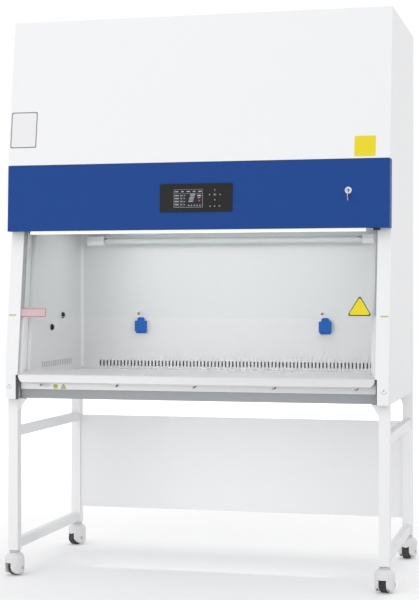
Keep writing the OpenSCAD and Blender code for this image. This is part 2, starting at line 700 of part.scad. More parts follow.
module gear_motor() {
    color("#606468") on_lean() {
        difference() {
            translate([0, drive_y, drive_u - 6]) union() {
                along_x(gear_x, gear_x + 50) rounded(64, 84, 10);
                along_x(gear_x + 50, gear_x + 52) rounded(76, 96, 12);
            }
            rod_x(gear_x - 1, gear_x + 53, shaft_r + run, drive_y, drive_u);
        }
        rod_x(gear_x - 120, gear_x, 29, drive_y, drive_u + 40 - 84);
        rod_x(gear_x - 132, gear_x - 120, 24, drive_y, drive_u + 40 - 84);
        for (i = [0:11]) translate([0, drive_y, drive_u - 44]) rotate([i * 30, 0, 0])
            box([gear_x - 112, 28, -1], [gear_x - 8, 31, 1]);
    }
    // Arm that holds the gearbox to the column's back wall.
    color("#606468") on_lean() box([gear_x + 10, drive_y + 24, drive_u - 30], [flange_in, drive_y + 27, drive_u + 10]);
}

// ---- Controls ----
// Places of the keys on the plate: sideways from the plate's middle and up from it.
key_places = [["lamp", [74, 29]], ["left", [54, 11]], ["enter", [74, 11]], ["right", [95, 11]],
    ["set", [74, -9]], ["up", [56, -33]], ["down", [74, -33]], ["power", [93, -33]]];
key_t = 2.4;
plate_t = 3;
module display_module() {
    color("#30302c") on_fascia(plate_x, plate_z) difference() {
        union() {
            translate([0, 0, 0]) linear_extrude(plate_t) rounded(plate_w, plate_h, 6);
            translate([0, 0, -34]) linear_extrude(34) rounded(plate_w - 26, plate_h - 26, 3.5);
        }
        translate([-30, -2, plate_t - 0.8]) linear_extrude(2) rounded(124, 78, 3);
        for (k = key_places) translate([k[1].x, k[1].y, plate_t - key_travel - key_t + 0.6])
            cylinder(d = key_d + 0.6, h = 6, $fn = 48);
    }
}
module panel_key(i) {
    color("#1c1c1a") on_fascia(plate_x, plate_z) translate([key_places[i][1].x, key_places[i][1].y, 0])
        translate([0, 0, plate_t - key_t + 0.8]) rotate_extrude($fn = 48)
            polygon([[0, 0.6], [key_d / 2, 0.6], [key_d / 2, key_t - 0.4], [key_d / 2 - 0.4, key_t], [0, key_t]]);
}
module key_lamp() { panel_key(0); }
module key_left() { panel_key(1); }
module key_enter() { panel_key(2); }
module key_right() { panel_key(3); }
module key_set() { panel_key(4); }
module key_up() { panel_key(5); }
module key_down() { panel_key(6); }
module key_power() { panel_key(7); }

lock_r = 9.4;
module lock_body() {
    color("#c8ccd0") on_fascia(lock_x, lock_z) rotate([0, 0, 0]) difference() {
        union() {
            translate([0, 0, -30]) cylinder(r = lock_r, h = 30, $fn = 64);
            rotate_extrude($fn = 64) polygon([[0, 0], [13, 0], [13, 1.5], [10, 4], [0, 4]]);
            translate([0, 0, -6.5]) cylinder(r = 13, h = 5, $fn = 6);
        }
        translate([0, 0, -20]) cylinder(r = 6 + run, h = 30, $fn = 64);
    }
}
module lock_key() {
    color("#b4b8bc") on_fascia(lock_x, lock_z) {
        translate([0, 0, -19.5]) cylinder(r = 6, h = 23.2, $fn = 64);
        // Flat blade with its pierced bow, which hangs down from the plug.
        translate([-1, -4, 3.5]) cube([2, 8, 9]);
        translate([-1, 0, 12]) rotate([0, 90, 0]) linear_extrude(2) difference() {
            union() {
                translate([-4, -28]) square([8, 30]);
                translate([0, -20]) scale([1, 1]) circle(10, $fn = 64);
            }
            translate([0, -24]) circle(3, $fn = 32);
        }
    }
}

// ---- Stand ----
module tube_z(x0, y0, z0, z1) {
    difference() {
        box([x0, y0, z0], [x0 + leg, y0 + leg, z1]);
        box([x0 + leg_wall, y0 + leg_wall, z0 - 1], [x0 + leg - leg_wall, y0 + leg - leg_wall, z1 + 1]);
    }
}
module side_frame() {
    foot = caster_h;
    rail_w = leg - 12;
    y0 = leg_front_y + leg;
    y1 = rear_y - leg;
    color("#f1f2f3") {
        for (y = [leg_front_y, rear_y - leg]) tube_z(-half_w, y, foot, leg_top - 4);
        // Closing plates at both ends of each leg.
        for (y = [leg_front_y, rear_y - leg]) {
            box([-half_w, y, leg_top - 4], [-half_w + leg, y + leg, leg_top]);
            difference() {
                box([-half_w + leg_wall, y + leg_wall, foot], [-half_w + leg - leg_wall, y + leg - leg_wall, foot + 6]);
                translate([-half_w + leg / 2, y + leg / 2, foot - 1]) cylinder(r = 6.1, h = 8, $fn = 48);
            }
        }
        for (z = [lower_rail, upper_rail]) difference() {
            box([-half_w + 6, y0, z - rail_h / 2], [-half_w + 6 + rail_w, y1, z + rail_h / 2]);
            box([-half_w + 6 + leg_wall, y0 - 1, z - rail_h / 2 + leg_wall],
                [-half_w + 6 + rail_w - leg_wall, y1 + 1, z + rail_h / 2 - leg_wall]);
        }
    }
}
module stand_left() { side_frame(); }
module stand_right() { mirror([1, 0, 0]) side_frame(); }

module stand_back_panel() {
    x = half_w - leg;
    y = rear_y - 30;
    fold = 18;
    color("#eff0f1") difference() {
        union() {
            along_x(-x, x) polygon(ribbon([[y + fold, skirt_z], [y, skirt_z], [y, skirt_z + skirt_h],
                [y + fold, skirt_z + skirt_h]], -sheet));
            mirrored() box([x - sheet, y + sheet, skirt_z + sheet], [x, y + fold, skirt_z + skirt_h - sheet]);
        }
        mirrored() for (z = [skirt_z + 50, skirt_z + skirt_h - 50]) rod_x(x - 5, x + 5, 3.3, y + fold / 2 + 1, z);
    }
}
module stand_brackets() {
    color("#e2e4e6") mirrored() {
        for (y = [leg_y0, leg_y1]) difference() {
            union() {
                along_x(half_w - leg - 28, half_w - leg) translate([y, 0]) polygon([[-14, leg_top - 4], [14, leg_top - 4],
                    [14, leg_top], [-14, leg_top]]);
                box([half_w - leg - 4, y - 14, leg_top - 46], [half_w - leg, y + 14, leg_top - 4]);
                translate([half_w - leg - 4, y + 2, 0]) rotate([90, 0, 0]) linear_extrude(4)
                    polygon([[0, leg_top - 4], [-24, leg_top - 4], [0, leg_top - 42]]);
            }
            translate([half_w - leg - 18, y + 8, leg_top - 6]) cylinder(r = 3.4, h = 10, $fn = 32);
        }
        // Bolts through the back panel into the legs.
        for (z = [skirt_z + 50, skirt_z + skirt_h - 50])
            rod_x(half_w - leg - sheet - 5, half_w - leg - sheet, 6, rear_y - 30 + 10, z);
    }
}

// ---- Casters ----
stem_r = 6;
pin_r = 5;
race_z = caster_h - 9;
crown_z = race_z - 0.4;
fork_in = wheel_w / 2 + 1.5;
cheek = 3;
axle_r = 4;
function caster_xy(i) = [(i % 2 == 0 ? -1 : 1) * leg_x, i < 2 ? leg_y0 : leg_y1];
// Each caster trails towards the middle of the stand, turned a little about its stem.
function caster_yaw(i) = (i < 2 ? 0 : 180) - (i % 2 == 0 ? turn_left : turn_right);
module on_caster(i) {
    translate([caster_xy(i).x, caster_xy(i).y, 0]) rotate([0, 0, caster_yaw(i)]) children();
}
module caster_stems() {
    color("#caced1") for (i = [0:3]) translate([caster_xy(i).x, caster_xy(i).y, 0]) {
        translate([0, 0, caster_h]) cylinder(r = stem_r, h = 36, $fn = 48);
        translate([0, 0, race_z]) rotate_extrude($fn = 64)
            polygon([[0, 0], [19, 0], [22, 3], [22, 6.5], [16, 9], [0, 9]]);
        // Kingpin with its head inside the crown.
        translate([0, 0, race_z - 22]) cylinder(r = pin_r, h = 23, $fn = 48);
    }
}
// Outline of the hood turned about the stem, from its rim to the crown, moved in by d.
function hood_line(d) = concat(arc([hood_r - 14, 20], 14 - d, -60, 0, 5), arc([hood_r - 20, crown_z - 22], 20 - d, 0, 50, 5),
    [[20 - d / 2, crown_z - d]]);
module caster_fork(i) {
    w = 2 * (fork_in + cheek);
    // Side view: the cheeks dip low beside the wheel and rise behind it.
    side = concat(arc([0, wheel_r + 9], 35, -170, -30, 14), [[hood_r + 2, wheel_r + 2], [hood_r + 2, crown_z], [-hood_r - 2, crown_z],
        [-hood_r - 2, wheel_r + 12]]);
    color("#eeeff0") on_caster(i) difference() {
        union() {
            intersection() {
                rotate([90, 0, 90]) translate([0, 0, -hood_r - 2]) linear_extrude(2 * hood_r + 4) polygon(side);
                difference() {
                    rotate_extrude($fn = 96) polygon(concat([[0, 0], [hood_r - 20, 0]], hood_line(0), [[0, crown_z]]));
                    // Pockets between the outer wall and the cheeks beside the wheel.
                    difference() {
                        rotate_extrude($fn = 96) polygon(concat([[0, -1], [hood_r - 20, -1]], hood_line(3), [[0, crown_z - 3]]));
                        translate([-w / 2, -hood_r, -2]) cube([w, 2 * hood_r, crown_z + 2]);
                    }
                }
            }
            // Axle between the cheeks.
            translate([-w / 2 - 2, trail, wheel_r]) rotate([0, 90, 0]) cylinder(r = axle_r, h = w + 4, $fn = 48);
        }
        difference() {
            union() {
                // Hollow for the wheel, open below and in front.
                translate([-fork_in, trail, wheel_r]) rotate([0, 90, 0]) cylinder(r = wheel_r + 2.5, h = 2 * fork_in, $fn = 96);
                translate([-fork_in, -60, -1]) cube([2 * fork_in, 60 + trail, wheel_r + 21]);
                translate([-fork_in, trail - 2, -1]) cube([2 * fork_in, 62 - trail, wheel_r + 9]);
            }
            translate([-w / 2 - 3, trail, wheel_r]) rotate([0, 90, 0]) cylinder(r = axle_r, h = w + 6, $fn = 48);
        }
        translate([0, 0, crown_z - 30]) cylinder(r = pin_r + run, h = 40, $fn = 48);
    }
}
module caster_wheel(i) {
    h = wheel_w / 2;
    tread = [[axle_r + run, -h + 1], [9, -h + 1], [9, -h + 3], [wheel_r - 8, -h + 4], [wheel_r - 7, -h],
        [wheel_r - 2.5, -h], [wheel_r, -h + 3]];
    color("#1d1e1f") on_caster(i) translate([0, trail, wheel_r]) rotate([0, 90, 0]) rotate_extrude($fn = 96)
        polygon(concat(tread, [for (k = [len(tread) - 1:-1:0]) [tread[k].x, -tread[k].y]]));
}
module caster_fork_front_left() { caster_fork(0); }
module caster_fork_front_right() { caster_fork(1); }
module caster_fork_rear_left() { caster_fork(2); }
module caster_fork_rear_right() { caster_fork(3); }
module caster_wheel_front_left() { caster_wheel(0); }
module caster_wheel_front_right() { caster_wheel(1); }
module caster_wheel_rear_left() { caster_wheel(2); }
module caster_wheel_rear_right() { caster_wheel(3); }

side_panel_left();
side_panel_right();
rear_cover();
top_panel();
front_upper_panel();
control_fascia();
column_left();
column_right();
bottom_pan();
front_sill();
armrest();
work_tray();
liner_back();
liner_left();
liner_right();
service_ports();
uv_lamp();
lamp_holders();
work_lamp();
socket_boxes();
socket_cover_left();
socket_cover_right();
supply_filter();
flow_diffuser();
exhaust_filter();
plenum_box();
impeller();
blower_motor();
exhaust_collar();
sash_glass();
sash_clamps();
drive_belts();
drive_shaft();
gear_motor();
shaft_bearings();
belt_idlers();
display_module();
key_lamp();
key_left();
key_enter();
key_right();
key_set();
key_up();
key_down();
key_power();
lock_body();
lock_key();
stand_left();
stand_right();
stand_back_panel();
stand_brackets();
caster_stems();
caster_fork_front_left();
caster_fork_front_right();
caster_fork_rear_left();
caster_fork_rear_right();
caster_wheel_front_left();
caster_wheel_front_right();
caster_wheel_rear_left();
caster_wheel_rear_right();
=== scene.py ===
# %% [markdown]
# # A biosafety cabinet, dressed in Blender
# The cabinet's construction comes from a CAD model that is loaded as a fixed frame: every sheet,
# tube and wheel is already in place and at its real size. This lesson adds what a CAD model lacks:
# finishes, lamps, small hardware, signs, and the light that shows them. Everything is in metres.

# %% Load the frame
import json
import math

import bmesh
import bpy
import numpy as np
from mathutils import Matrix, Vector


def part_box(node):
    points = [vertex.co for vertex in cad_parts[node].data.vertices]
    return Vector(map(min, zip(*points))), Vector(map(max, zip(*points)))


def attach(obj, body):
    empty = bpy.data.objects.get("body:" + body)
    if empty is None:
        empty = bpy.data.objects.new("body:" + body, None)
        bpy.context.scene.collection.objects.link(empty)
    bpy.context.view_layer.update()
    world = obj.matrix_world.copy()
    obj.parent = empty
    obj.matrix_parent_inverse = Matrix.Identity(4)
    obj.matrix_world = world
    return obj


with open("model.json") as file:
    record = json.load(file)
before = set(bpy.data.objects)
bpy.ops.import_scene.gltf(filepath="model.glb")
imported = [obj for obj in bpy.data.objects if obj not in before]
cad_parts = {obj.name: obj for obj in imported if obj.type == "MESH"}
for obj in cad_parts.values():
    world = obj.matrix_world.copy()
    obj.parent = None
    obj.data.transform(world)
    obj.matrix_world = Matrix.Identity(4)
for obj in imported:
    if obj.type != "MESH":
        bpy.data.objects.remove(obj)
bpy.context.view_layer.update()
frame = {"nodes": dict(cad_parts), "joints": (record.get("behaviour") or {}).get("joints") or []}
NODES = frame["nodes"]

# %% [markdown]
# ## Reading places from the frame
# A part that is added later has to sit on the CAD part that carries it. So where it can, its place
# is read from a node's box or from a joint, whose axis also tells how the leaning sash and the
# tilted fascia face; other places are given as numbers in metres.

# %% Boxes, joints and directions
MM = 0.001
X, Y, Z = 0, 1, 2
LO, HI = 0, 1
SIDES = (("left", -1), ("right", 1))


def box(node):
    """Lowest (LO) and highest (HI) corner of a CAD node as two numpy rows."""
    return np.array([list(corner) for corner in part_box(node)])


JOINTS = {joint["name"]: joint for joint in frame["joints"]}
LEAN = np.array(JOINTS["sash_slide"]["axis"])
LEAN_NORMAL = np.array([0.0, -LEAN[2], LEAN[1]])
FASCIA_NORMAL = np.array(JOINTS["lock_key_turn"]["axis"])
FASCIA_UP = np.array([0.0, FASCIA_NORMAL[2], -FASCIA_NORMAL[1]])
ACROSS = np.array([1.0, 0.0, 0.0])
UP = np.array([0.0, 0.0, 1.0])
FRONT = np.array([0.0, -1.0, 0.0])
BACK = -FRONT
print("sash leans", round(math.degrees(math.asin(LEAN[1])), 1), "degrees")


def on_plane(origin, x_axis, y_axis):
    """A function that takes flat (x, y, height) rows onto a plane: origin + x*x_axis + y*y_axis +
    height*normal, where the normal is the cross product of the two axes."""
    normal = np.cross(x_axis, y_axis)
    basis = np.array([x_axis, y_axis, normal])
    return lambda rows: np.asarray(origin) + np.asarray(rows, float) @ basis


# %% [markdown]
# ## Floor, light and camera
# A plain pale floor keeps the cabinet's soft shadow. Most of the light comes from a pale world, as
# in a studio with white walls, so that the white casing reads as white without clipping. Broad
# lamps in front, low down and behind give the sides their different greys, a long one lights the
# chamber and a weak one the back panel of the stand. Only camera, glossy and transmission rays see
# the pure white background, so it adds no light to the object.

# %% Camera
CAMERA_PLACE = (1.4390, -5.8744, 1.1130)
CAMERA_YAW = math.radians(14.03)
CAMERA_PITCH = math.radians(-0.29)
FRAME_TALL = 600
FOCAL_PX = 1492.4
SENSOR = 36.0


def add_camera():
    """The camera stands to the cabinet's right at chest height and looks almost level, so upright
    edges stay upright; its lens is the focal length in pixels over the long side of the frame."""
    data = bpy.data.cameras.new("camera")
    data.sensor_fit = "AUTO"
    data.sensor_width = SENSOR
    data.lens = FOCAL_PX / FRAME_TALL * SENSOR
    data.clip_end = 100.0
    camera = bpy.data.objects.new("camera", data)
    camera.location = CAMERA_PLACE
    camera.rotation_euler = (math.pi / 2 + CAMERA_PITCH, 0.0, CAMERA_YAW)
    bpy.context.scene.collection.objects.link(camera)
    bpy.context.scene.camera = camera


add_camera()

# %% Lamps


def add_area(name, place, target, size, watts, length=None):
    """A soft lamp that faces its target: a square, or an oblong with a length along X."""
    data = bpy.data.lights.new(name, "AREA")
    data.shape = "RECTANGLE"
    data.size, data.size_y = length or size, size
    data.energy = watts
    lamp = bpy.data.objects.new(name, data)
    lamp.location = place
    away = np.asarray(place, float) - np.asarray(target, float)
    flat = math.hypot(away[X], away[Y])
    lamp.rotation_euler = (math.atan2(flat, away[Z]), 0.0, math.atan2(away[X], -away[Y]))
    lamp.visible_camera = False
    bpy.context.scene.collection.objects.link(lamp)


add_area("lamp_front", place=(-1.5, -5.5, 6.4), target=(0, 0, 1.2), size=3.4, watts=26)
add_area("lamp_low", place=(-2.4, -5.6, 0.9), target=(0, 0, 0.8), size=2.0, watts=24)
add_area("lamp_behind", place=(0.6, 4.2, 6.0), target=(0, 0, 0.6), size=2.4, watts=40)
add_area("lamp_work", place=(0, -0.03, 1.4), target=(0, -0.031, 0.8), size=0.3, watts=3.3,
         length=1.15)
add_area("lamp_under", place=(0, -0.2, 0.16), target=(0, 0.45, 0.5), size=1.0, watts=1.9)
print(len(bpy.data.lights), "lamps")

# %% World
AMBIENT = 0.88
AMBIENT_TINT = (0.99, 0.992, 1.0, 1)
FRONT_SHARE = 0.12


def build_world():
    """Pale light from all round, a little stronger from the front than from behind: its strength is
    AMBIENT - FRONT_SHARE * y. Plain white where a camera, glossy or transmission ray looks."""
    world = bpy.data.worlds.new("studio")
    bpy.context.scene.world = world
    world.use_nodes = True
    nodes, links = world.node_tree.nodes, world.node_tree.links
    nodes.clear()
    ambient = nodes.new("ShaderNodeBackground")
    ambient.inputs["Color"].default_value = AMBIENT_TINT
    direction = nodes.new("ShaderNodeSeparateXYZ")
    links.new(nodes.new("ShaderNodeTexCoord").outputs["Generated"], direction.inputs[0])
    strength = nodes.new("ShaderNodeMath")
    strength.operation = "MULTIPLY_ADD"
    strength.inputs[1].default_value = -FRONT_SHARE
    strength.inputs[2].default_value = AMBIENT
    links.new(direction.outputs["Y"], strength.inputs[0])
    links.new(strength.outputs[0], ambient.inputs["Strength"])
    white = nodes.new("ShaderNodeBackground")
    white.inputs["Color"].default_value = (1, 1, 1, 1)
    path = nodes.new("ShaderNodeLightPath")
    seen = path.outputs["Is Camera Ray"]
    for ray in ("Is Transmission Ray", "Is Glossy Ray"):
        either = nodes.new("ShaderNodeMath")
        either.operation = "MAXIMUM"
        links.new(seen, either.inputs[0])
        links.new(path.outputs[ray], either.inputs[1])
        seen = either.outputs[0]
    mix = nodes.new("ShaderNodeMixShader")
    links.new(seen, mix.inputs["Fac"])
    links.new(ambient.outputs[0], mix.inputs[1])
    links.new(white.outputs[0], mix.inputs[2])
    links.new(mix.outputs[0], nodes.new("ShaderNodeOutputWorld").inputs["Surface"])


build_world()
bpy.context.scene.view_settings.view_transform = "Standard"
print("world:", bpy.context.scene.world.name)

# %% Floor
FLOOR_HALF = 14.0
FLOOR_PALE = (0.88, 0.88, 0.88, 1)
GLOW = {"From Min": 1.2, "From Max": 5.5, "To Min": 0.15, "To Max": 0.6}


def build_floor():
    """A flat square under the wheels. Where only the camera looks, a little white is added, and
    more of it the farther off the floor lies, so it runs into the background and keeps the shadow.
    GLOW holds two distances from the middle and how much white is added at each."""
    mesh = bpy.data.meshes.new("floor")
    h = FLOOR_HALF
    mesh.from_pydata([(-h, -h, 0), (h, -h, 0), (h, h, 0), (-h, h, 0)], [], [(0, 1, 2, 3)])
    floor = bpy.data.objects.new("floor", mesh)
    bpy.context.scene.collection.objects.link(floor)
    material = bpy.data.materials.new("floor_white")
    material.use_nodes = True
    nodes, links = material.node_tree.nodes, material.node_tree.links
    nodes.clear()
    diffuse = nodes.new("ShaderNodeBsdfDiffuse")
    diffuse.inputs["Color"].default_value = FLOOR_PALE
    distance = nodes.new("ShaderNodeVectorMath")
    distance.operation = "LENGTH"
    links.new(nodes.new("ShaderNodeTexCoord").outputs["Object"], distance.inputs[0])
    fade = nodes.new("ShaderNodeMapRange")
    fade.interpolation_type = "SMOOTHSTEP"
    for label, value in GLOW.items():
        fade.inputs[label].default_value = value
    links.new(distance.outputs["Value"], fade.inputs["Value"])
    strength = nodes.new("ShaderNodeMath")
    strength.operation = "MULTIPLY"
    links.new(nodes.new("ShaderNodeLightPath").outputs["Is Camera Ray"], strength.inputs[0])
    links.new(fade.outputs["Result"], strength.inputs[1])
    glow = nodes.new("ShaderNodeEmission")
    glow.inputs["Color"].default_value = (1, 1, 1, 1)
    links.new(strength.outputs[0], glow.inputs["Strength"])
    add = nodes.new("ShaderNodeAddShader")
    links.new(diffuse.outputs[0], add.inputs[0])
    links.new(glow.outputs[0], add.inputs[1])
    links.new(add.outputs[0], nodes.new("ShaderNodeOutputMaterial").inputs["Surface"])
    mesh.materials.append(material)


build_floor()
print("floor:", 2 * FLOOR_HALF, "m wide")

# %% [markdown]
# ## Finishes that several materials share
# Powder coat, brushed steel and settled dust turn up on many pieces. Each effect is a node group
# with named inputs, built once, so a material only chooses its own values. The groups read Object
# coordinates, which for every piece here are simply metres in the room, so a grain keeps its real
# size on a small key as on a wide panel.

# %% Makers of nodes


def node_group(name, inputs, outputs):
    """An empty shader group with the sockets named in inputs {name: (type, default)} and outputs
    {name: type}; returns the tree, its input node and its output node."""
    tree = bpy.data.node_groups.new(name, "ShaderNodeTree")
    for label, (kind, default) in inputs.items():
        socket = tree.interface.new_socket(name=label, in_out="INPUT", socket_type=kind)
        socket.default_value = default
    for label, kind in outputs.items():
        tree.interface.new_socket(name=label, in_out="OUTPUT", socket_type=kind)
    return tree, tree.nodes.new("NodeGroupInput"), tree.nodes.new("NodeGroupOutput")


def feed(tree, socket, value):
    """Sets a socket: a plain number or colour is typed in, another socket is linked to it."""
    if isinstance(value, (int, float, tuple)):
        socket.default_value = value
    else:
        tree.links.new(value, socket)


def object_place(tree):
    """The place of the shaded point in metres."""
    return tree.nodes.new("ShaderNodeTexCoord").outputs["Object"]


def noise(tree, vector, scale, detail=2.0):
    """A noise value between 0 and 1 at a vector socket; scale is a socket or a number."""
    node = tree.nodes.new("ShaderNodeTexNoise")
    node.inputs["Detail"].default_value = detail
    feed(tree, node.inputs["Vector"], vector)
    feed(tree, node.inputs["Scale"], scale)
    return node.outputs["Fac"]


def math_node(tree, operation, a, b, clamp=False):
    """A sum, product and so on of a and b, which are sockets or plain numbers."""
    node = tree.nodes.new("ShaderNodeMath")
    node.operation = operation
    node.use_clamp = clamp
    feed(tree, node.inputs[0], a)
    feed(tree, node.inputs[1], b)
    return node.outputs[0]


def mix_colour(tree, factor, a, b, blend="MIX"):
    """Colour a mixed with colour b by factor; each is a socket or a plain value."""
    node = tree.nodes.new("ShaderNodeMix")
    node.data_type = "RGBA"
    node.blend_type = blend
    sockets = [s for s in node.inputs if s.enabled]
    for label, value in (("Factor", factor), ("A", a), ("B", b)):
        feed(tree, next(s for s in sockets if s.name == label), value)
    return next(s for s in node.outputs if s.enabled)


def varied(tree, given, value, amount, rough_share):
    """Colour and roughness that drift with a noise value: colour * (1 + amount * (value - 0.5)) and
    roughness + rough_share * (value - 0.5)."""
    centred = math_node(tree, "SUBTRACT", value, 0.5)
    shade = math_node(tree, "ADD", 1.0, math_node(tree, "MULTIPLY", centred, given.outputs[amount]))
    grey = tree.nodes.new("ShaderNodeCombineColor")
    for channel in grey.inputs:
        tree.links.new(shade, channel)
    colour = mix_colour(tree, 1.0, given.outputs["Color"], grey.outputs[0], "MULTIPLY")
    drift = math_node(tree, "MULTIPLY", centred, rough_share)
    return colour, math_node(tree, "ADD", given.outputs["Roughness"], drift)


def hand_out(tree, outputs, **sockets):
    """Links sockets to the group's outputs of the same names."""
    for label, socket in sockets.items():
        tree.links.new(socket, outputs.inputs[label])
    return tree


GRAIN_OUTPUTS = {
    "Color": "NodeSocketColor",
    "Roughness": "NodeSocketFloat",
    "Height": "NodeSocketFloat",
}
print("node makers ready")

# %% [markdown]
# ### Powder-coat grain
# Powder paint is sprayed on dry and melted in an oven. It flows almost level and leaves a fine
# orange peel, and a large panel is never quite even. Two noises give that: a fine one for the
# height and a slow one for a drift in colour and roughness.

# %% Powder-coat grain


def build_powder_group():
    """Orange-peel height from fine noise; colour and roughness drift a little over the panel."""
    tree, given, outputs = node_group(
        "powder grain",
        {
            "Color": ("NodeSocketColor", (0.9, 0.9, 0.9, 1)),
            "Roughness": ("NodeSocketFloat", 0.4),
            "Grain": ("NodeSocketFloat", 420.0),
            "Drift": ("NodeSocketFloat", 0.02),
        },
        GRAIN_OUTPUTS,
    )
    place = object_place(tree)
    peel = noise(tree, place, given.outputs["Grain"], detail=3.0)
    cloud = noise(tree, place, scale=2.2, detail=3.0)
    colour, rough = varied(tree, given, cloud, "Drift", rough_share=0.18)
    return hand_out(tree, outputs, Color=colour, Roughness=rough, Height=peel)


POWDER = build_powder_group()
print("group:", POWDER.name)

# %% [markdown]
# ### Brushed grain
# Sheet steel for a chamber is brushed with a belt, so every scratch runs one way. Noise on squeezed
# coordinates gives such hair lines at any size, where a picture of brushed steel would repeat.

# %% Brushed grain


def build_brushed_group():
    """Long thin streaks: noise on coordinates that are squeezed across the brushing and stretched
    along it, so its cells become hair lines."""
    tree, given, outputs = node_group(
        "brushed grain",
        {
            "Color": ("NodeSocketColor", (0.7, 0.7, 0.7, 1)),
            "Roughness": ("NodeSocketFloat", 0.3),
            "Along": ("NodeSocketVector", (3.0, 900.0, 900.0)),
            "Contrast": ("NodeSocketFloat", 0.1),
        },
        GRAIN_OUTPUTS,
    )
    squeeze = tree.nodes.new("ShaderNodeVectorMath")
    squeeze.operation = "MULTIPLY"
    feed(tree, squeeze.inputs[0], object_place(tree))
    feed(tree, squeeze.inputs[1], given.outputs["Along"])
    hair = noise(tree, squeeze.outputs[0], scale=1.0, detail=4.0)
    colour, rough = varied(tree, given, hair, "Contrast", rough_share=0.25)
    return hand_out(tree, outputs, Color=colour, Roughness=rough, Height=hair)


BRUSHED = build_brushed_group()
print("group:", BRUSHED.name)

# %% [markdown]
# ### Settled dust
# A stand on wheels picks up dust near the floor and nowhere else, so the dust depends on height
# alone and is broken up by noise.

# %% Settled dust
DUST_GREY = (0.42, 0.4, 0.37, 1)


def build_dust_group():
    """Dust gathers low down: its mask is one at the floor, fades with height and is broken up by
    noise; the colour is mixed towards a warm grey by that mask."""
    tree, given, outputs = node_group(
        "settled dust",
        {
            "Color": ("NodeSocketColor", (0.9, 0.9, 0.9, 1)),
            "Reach": ("NodeSocketFloat", 0.12),
            "Amount": ("NodeSocketFloat", 0.2),
        },
        {"Color": "NodeSocketColor", "Mask": "NodeSocketFloat"},
    )
    place = object_place(tree)
    split = tree.nodes.new("ShaderNodeSeparateXYZ")
    feed(tree, split.inputs[0], place)
    height = math_node(tree, "DIVIDE", split.outputs["Z"], given.outputs["Reach"])
    low = math_node(tree, "SUBTRACT", 1.0, height, clamp=True)
    broken = math_node(tree, "MULTIPLY", low, noise(tree, place, scale=60.0, detail=5.0))
    mask = math_node(tree, "MULTIPLY", broken, given.outputs["Amount"], clamp=True)
    colour = mix_colour(tree, mask, given.outputs["Color"], DUST_GREY)
    return hand_out(tree, outputs, Color=colour, Mask=mask)


DUST = build_dust_group()
print("group:", DUST.name)

# %% [markdown]
# ## Materials
# Each finish is one short function. The Principled shader stays in the material, and whatever is
# the same all over the surface is set on its own socket; only what changes over the surface comes
# from a group.

# %% Makers of materials
POWDER_GRAIN = 900.0
SPARK_GRAIN = 1600.0
HAIR_DEPTH = 0.03 * MM
DUST_REACH = {"powder": 0.14, "moulded": 0.1}


def new_material(name):
    """A material with an empty Principled shader; returns the material, its tree and the shader."""
    material = bpy.data.materials.new(name)
    material.use_nodes = True
    return material, material.node_tree, material.node_tree.nodes["Principled BSDF"]


def place_group(tree, group, **values):
    """A group node in this tree with its inputs set."""
    node = tree.nodes.new("ShaderNodeGroup")
    node.node_tree = group
    for label, value in values.items():
        node.inputs[label].default_value = value
    return node


def add_bump(tree, shader, height, distance, strength=0.4):
    """Feeds a height into the shader's normal; distance is how high a full step stands."""
    bump = tree.nodes.new("ShaderNodeBump")
    bump.inputs["Distance"].default_value = distance
    bump.inputs["Strength"].default_value = strength
    tree.links.new(height, bump.inputs["Height"])
    tree.links.new(bump.outputs["Normal"], shader.inputs["Normal"])


def grained_body(name, grain, dust, reach, sheen):
    """A matt body from the powder group: grain holds the group's values, dust is how much of it
    settles up to the height reach, sheen is the strength of its reflection."""
    material, tree, shader = new_material(name)
    body = place_group(tree, POWDER, **grain)
    colour = body.outputs["Color"]
    if dust:
        settled = place_group(tree, DUST, Reach=reach, Amount=dust)
        tree.links.new(colour, settled.inputs["Color"])
        colour = settled.outputs["Color"]
    tree.links.new(colour, shader.inputs["Base Color"])
    tree.links.new(body.outputs["Roughness"], shader.inputs["Roughness"])
    shader.inputs["Specular IOR Level"].default_value = sheen
    return material, tree, shader, body.outputs["Height"]


def powder_coat(name, colour, rough=0.38, peel=0.04 * MM, drift=0.02, dust=0.0, sheen=0.4):
    """Baked powder paint: a soft sheen with fine orange peel, dusty near the floor if asked."""
    grain = {"Color": (*colour, 1), "Roughness": rough, "Grain": POWDER_GRAIN, "Drift": drift}
    material, tree, shader, height = grained_body(name, grain, dust, DUST_REACH["powder"], sheen)
    add_bump(tree, shader, height, peel, strength=0.5)
    return material


def moulded_plastic(name, colour, rough=0.4, drift=0.03, sheen=0.3, dust=0.0):
    """Moulded plastic or rubber: a matt body with the faint grain of a spark-eroded mould."""
    grain = {"Color": (*colour, 1), "Roughness": rough, "Grain": SPARK_GRAIN, "Drift": drift}
    material, tree, shader, height = grained_body(name, grain, dust, DUST_REACH["moulded"], sheen)
    add_bump(tree, shader, height, HAIR_DEPTH)
    return material


def brushed_metal(name, colour, rough, along, contrast, metallic=1.0):
    """Metal with hair lines; along squeezes the noise, so its lowest value is the brushed way."""
    material, tree, shader = new_material(name)
    grain = place_group(tree, BRUSHED, Color=(*colour, 1), Roughness=rough, Along=along,
                        Contrast=contrast)
    tree.links.new(grain.outputs["Color"], shader.inputs["Base Color"])
    tree.links.new(grain.outputs["Roughness"], shader.inputs["Roughness"])
    shader.inputs["Metallic"].default_value = metallic
    add_bump(tree, shader, grain.outputs["Height"], HAIR_DEPTH)
    return material


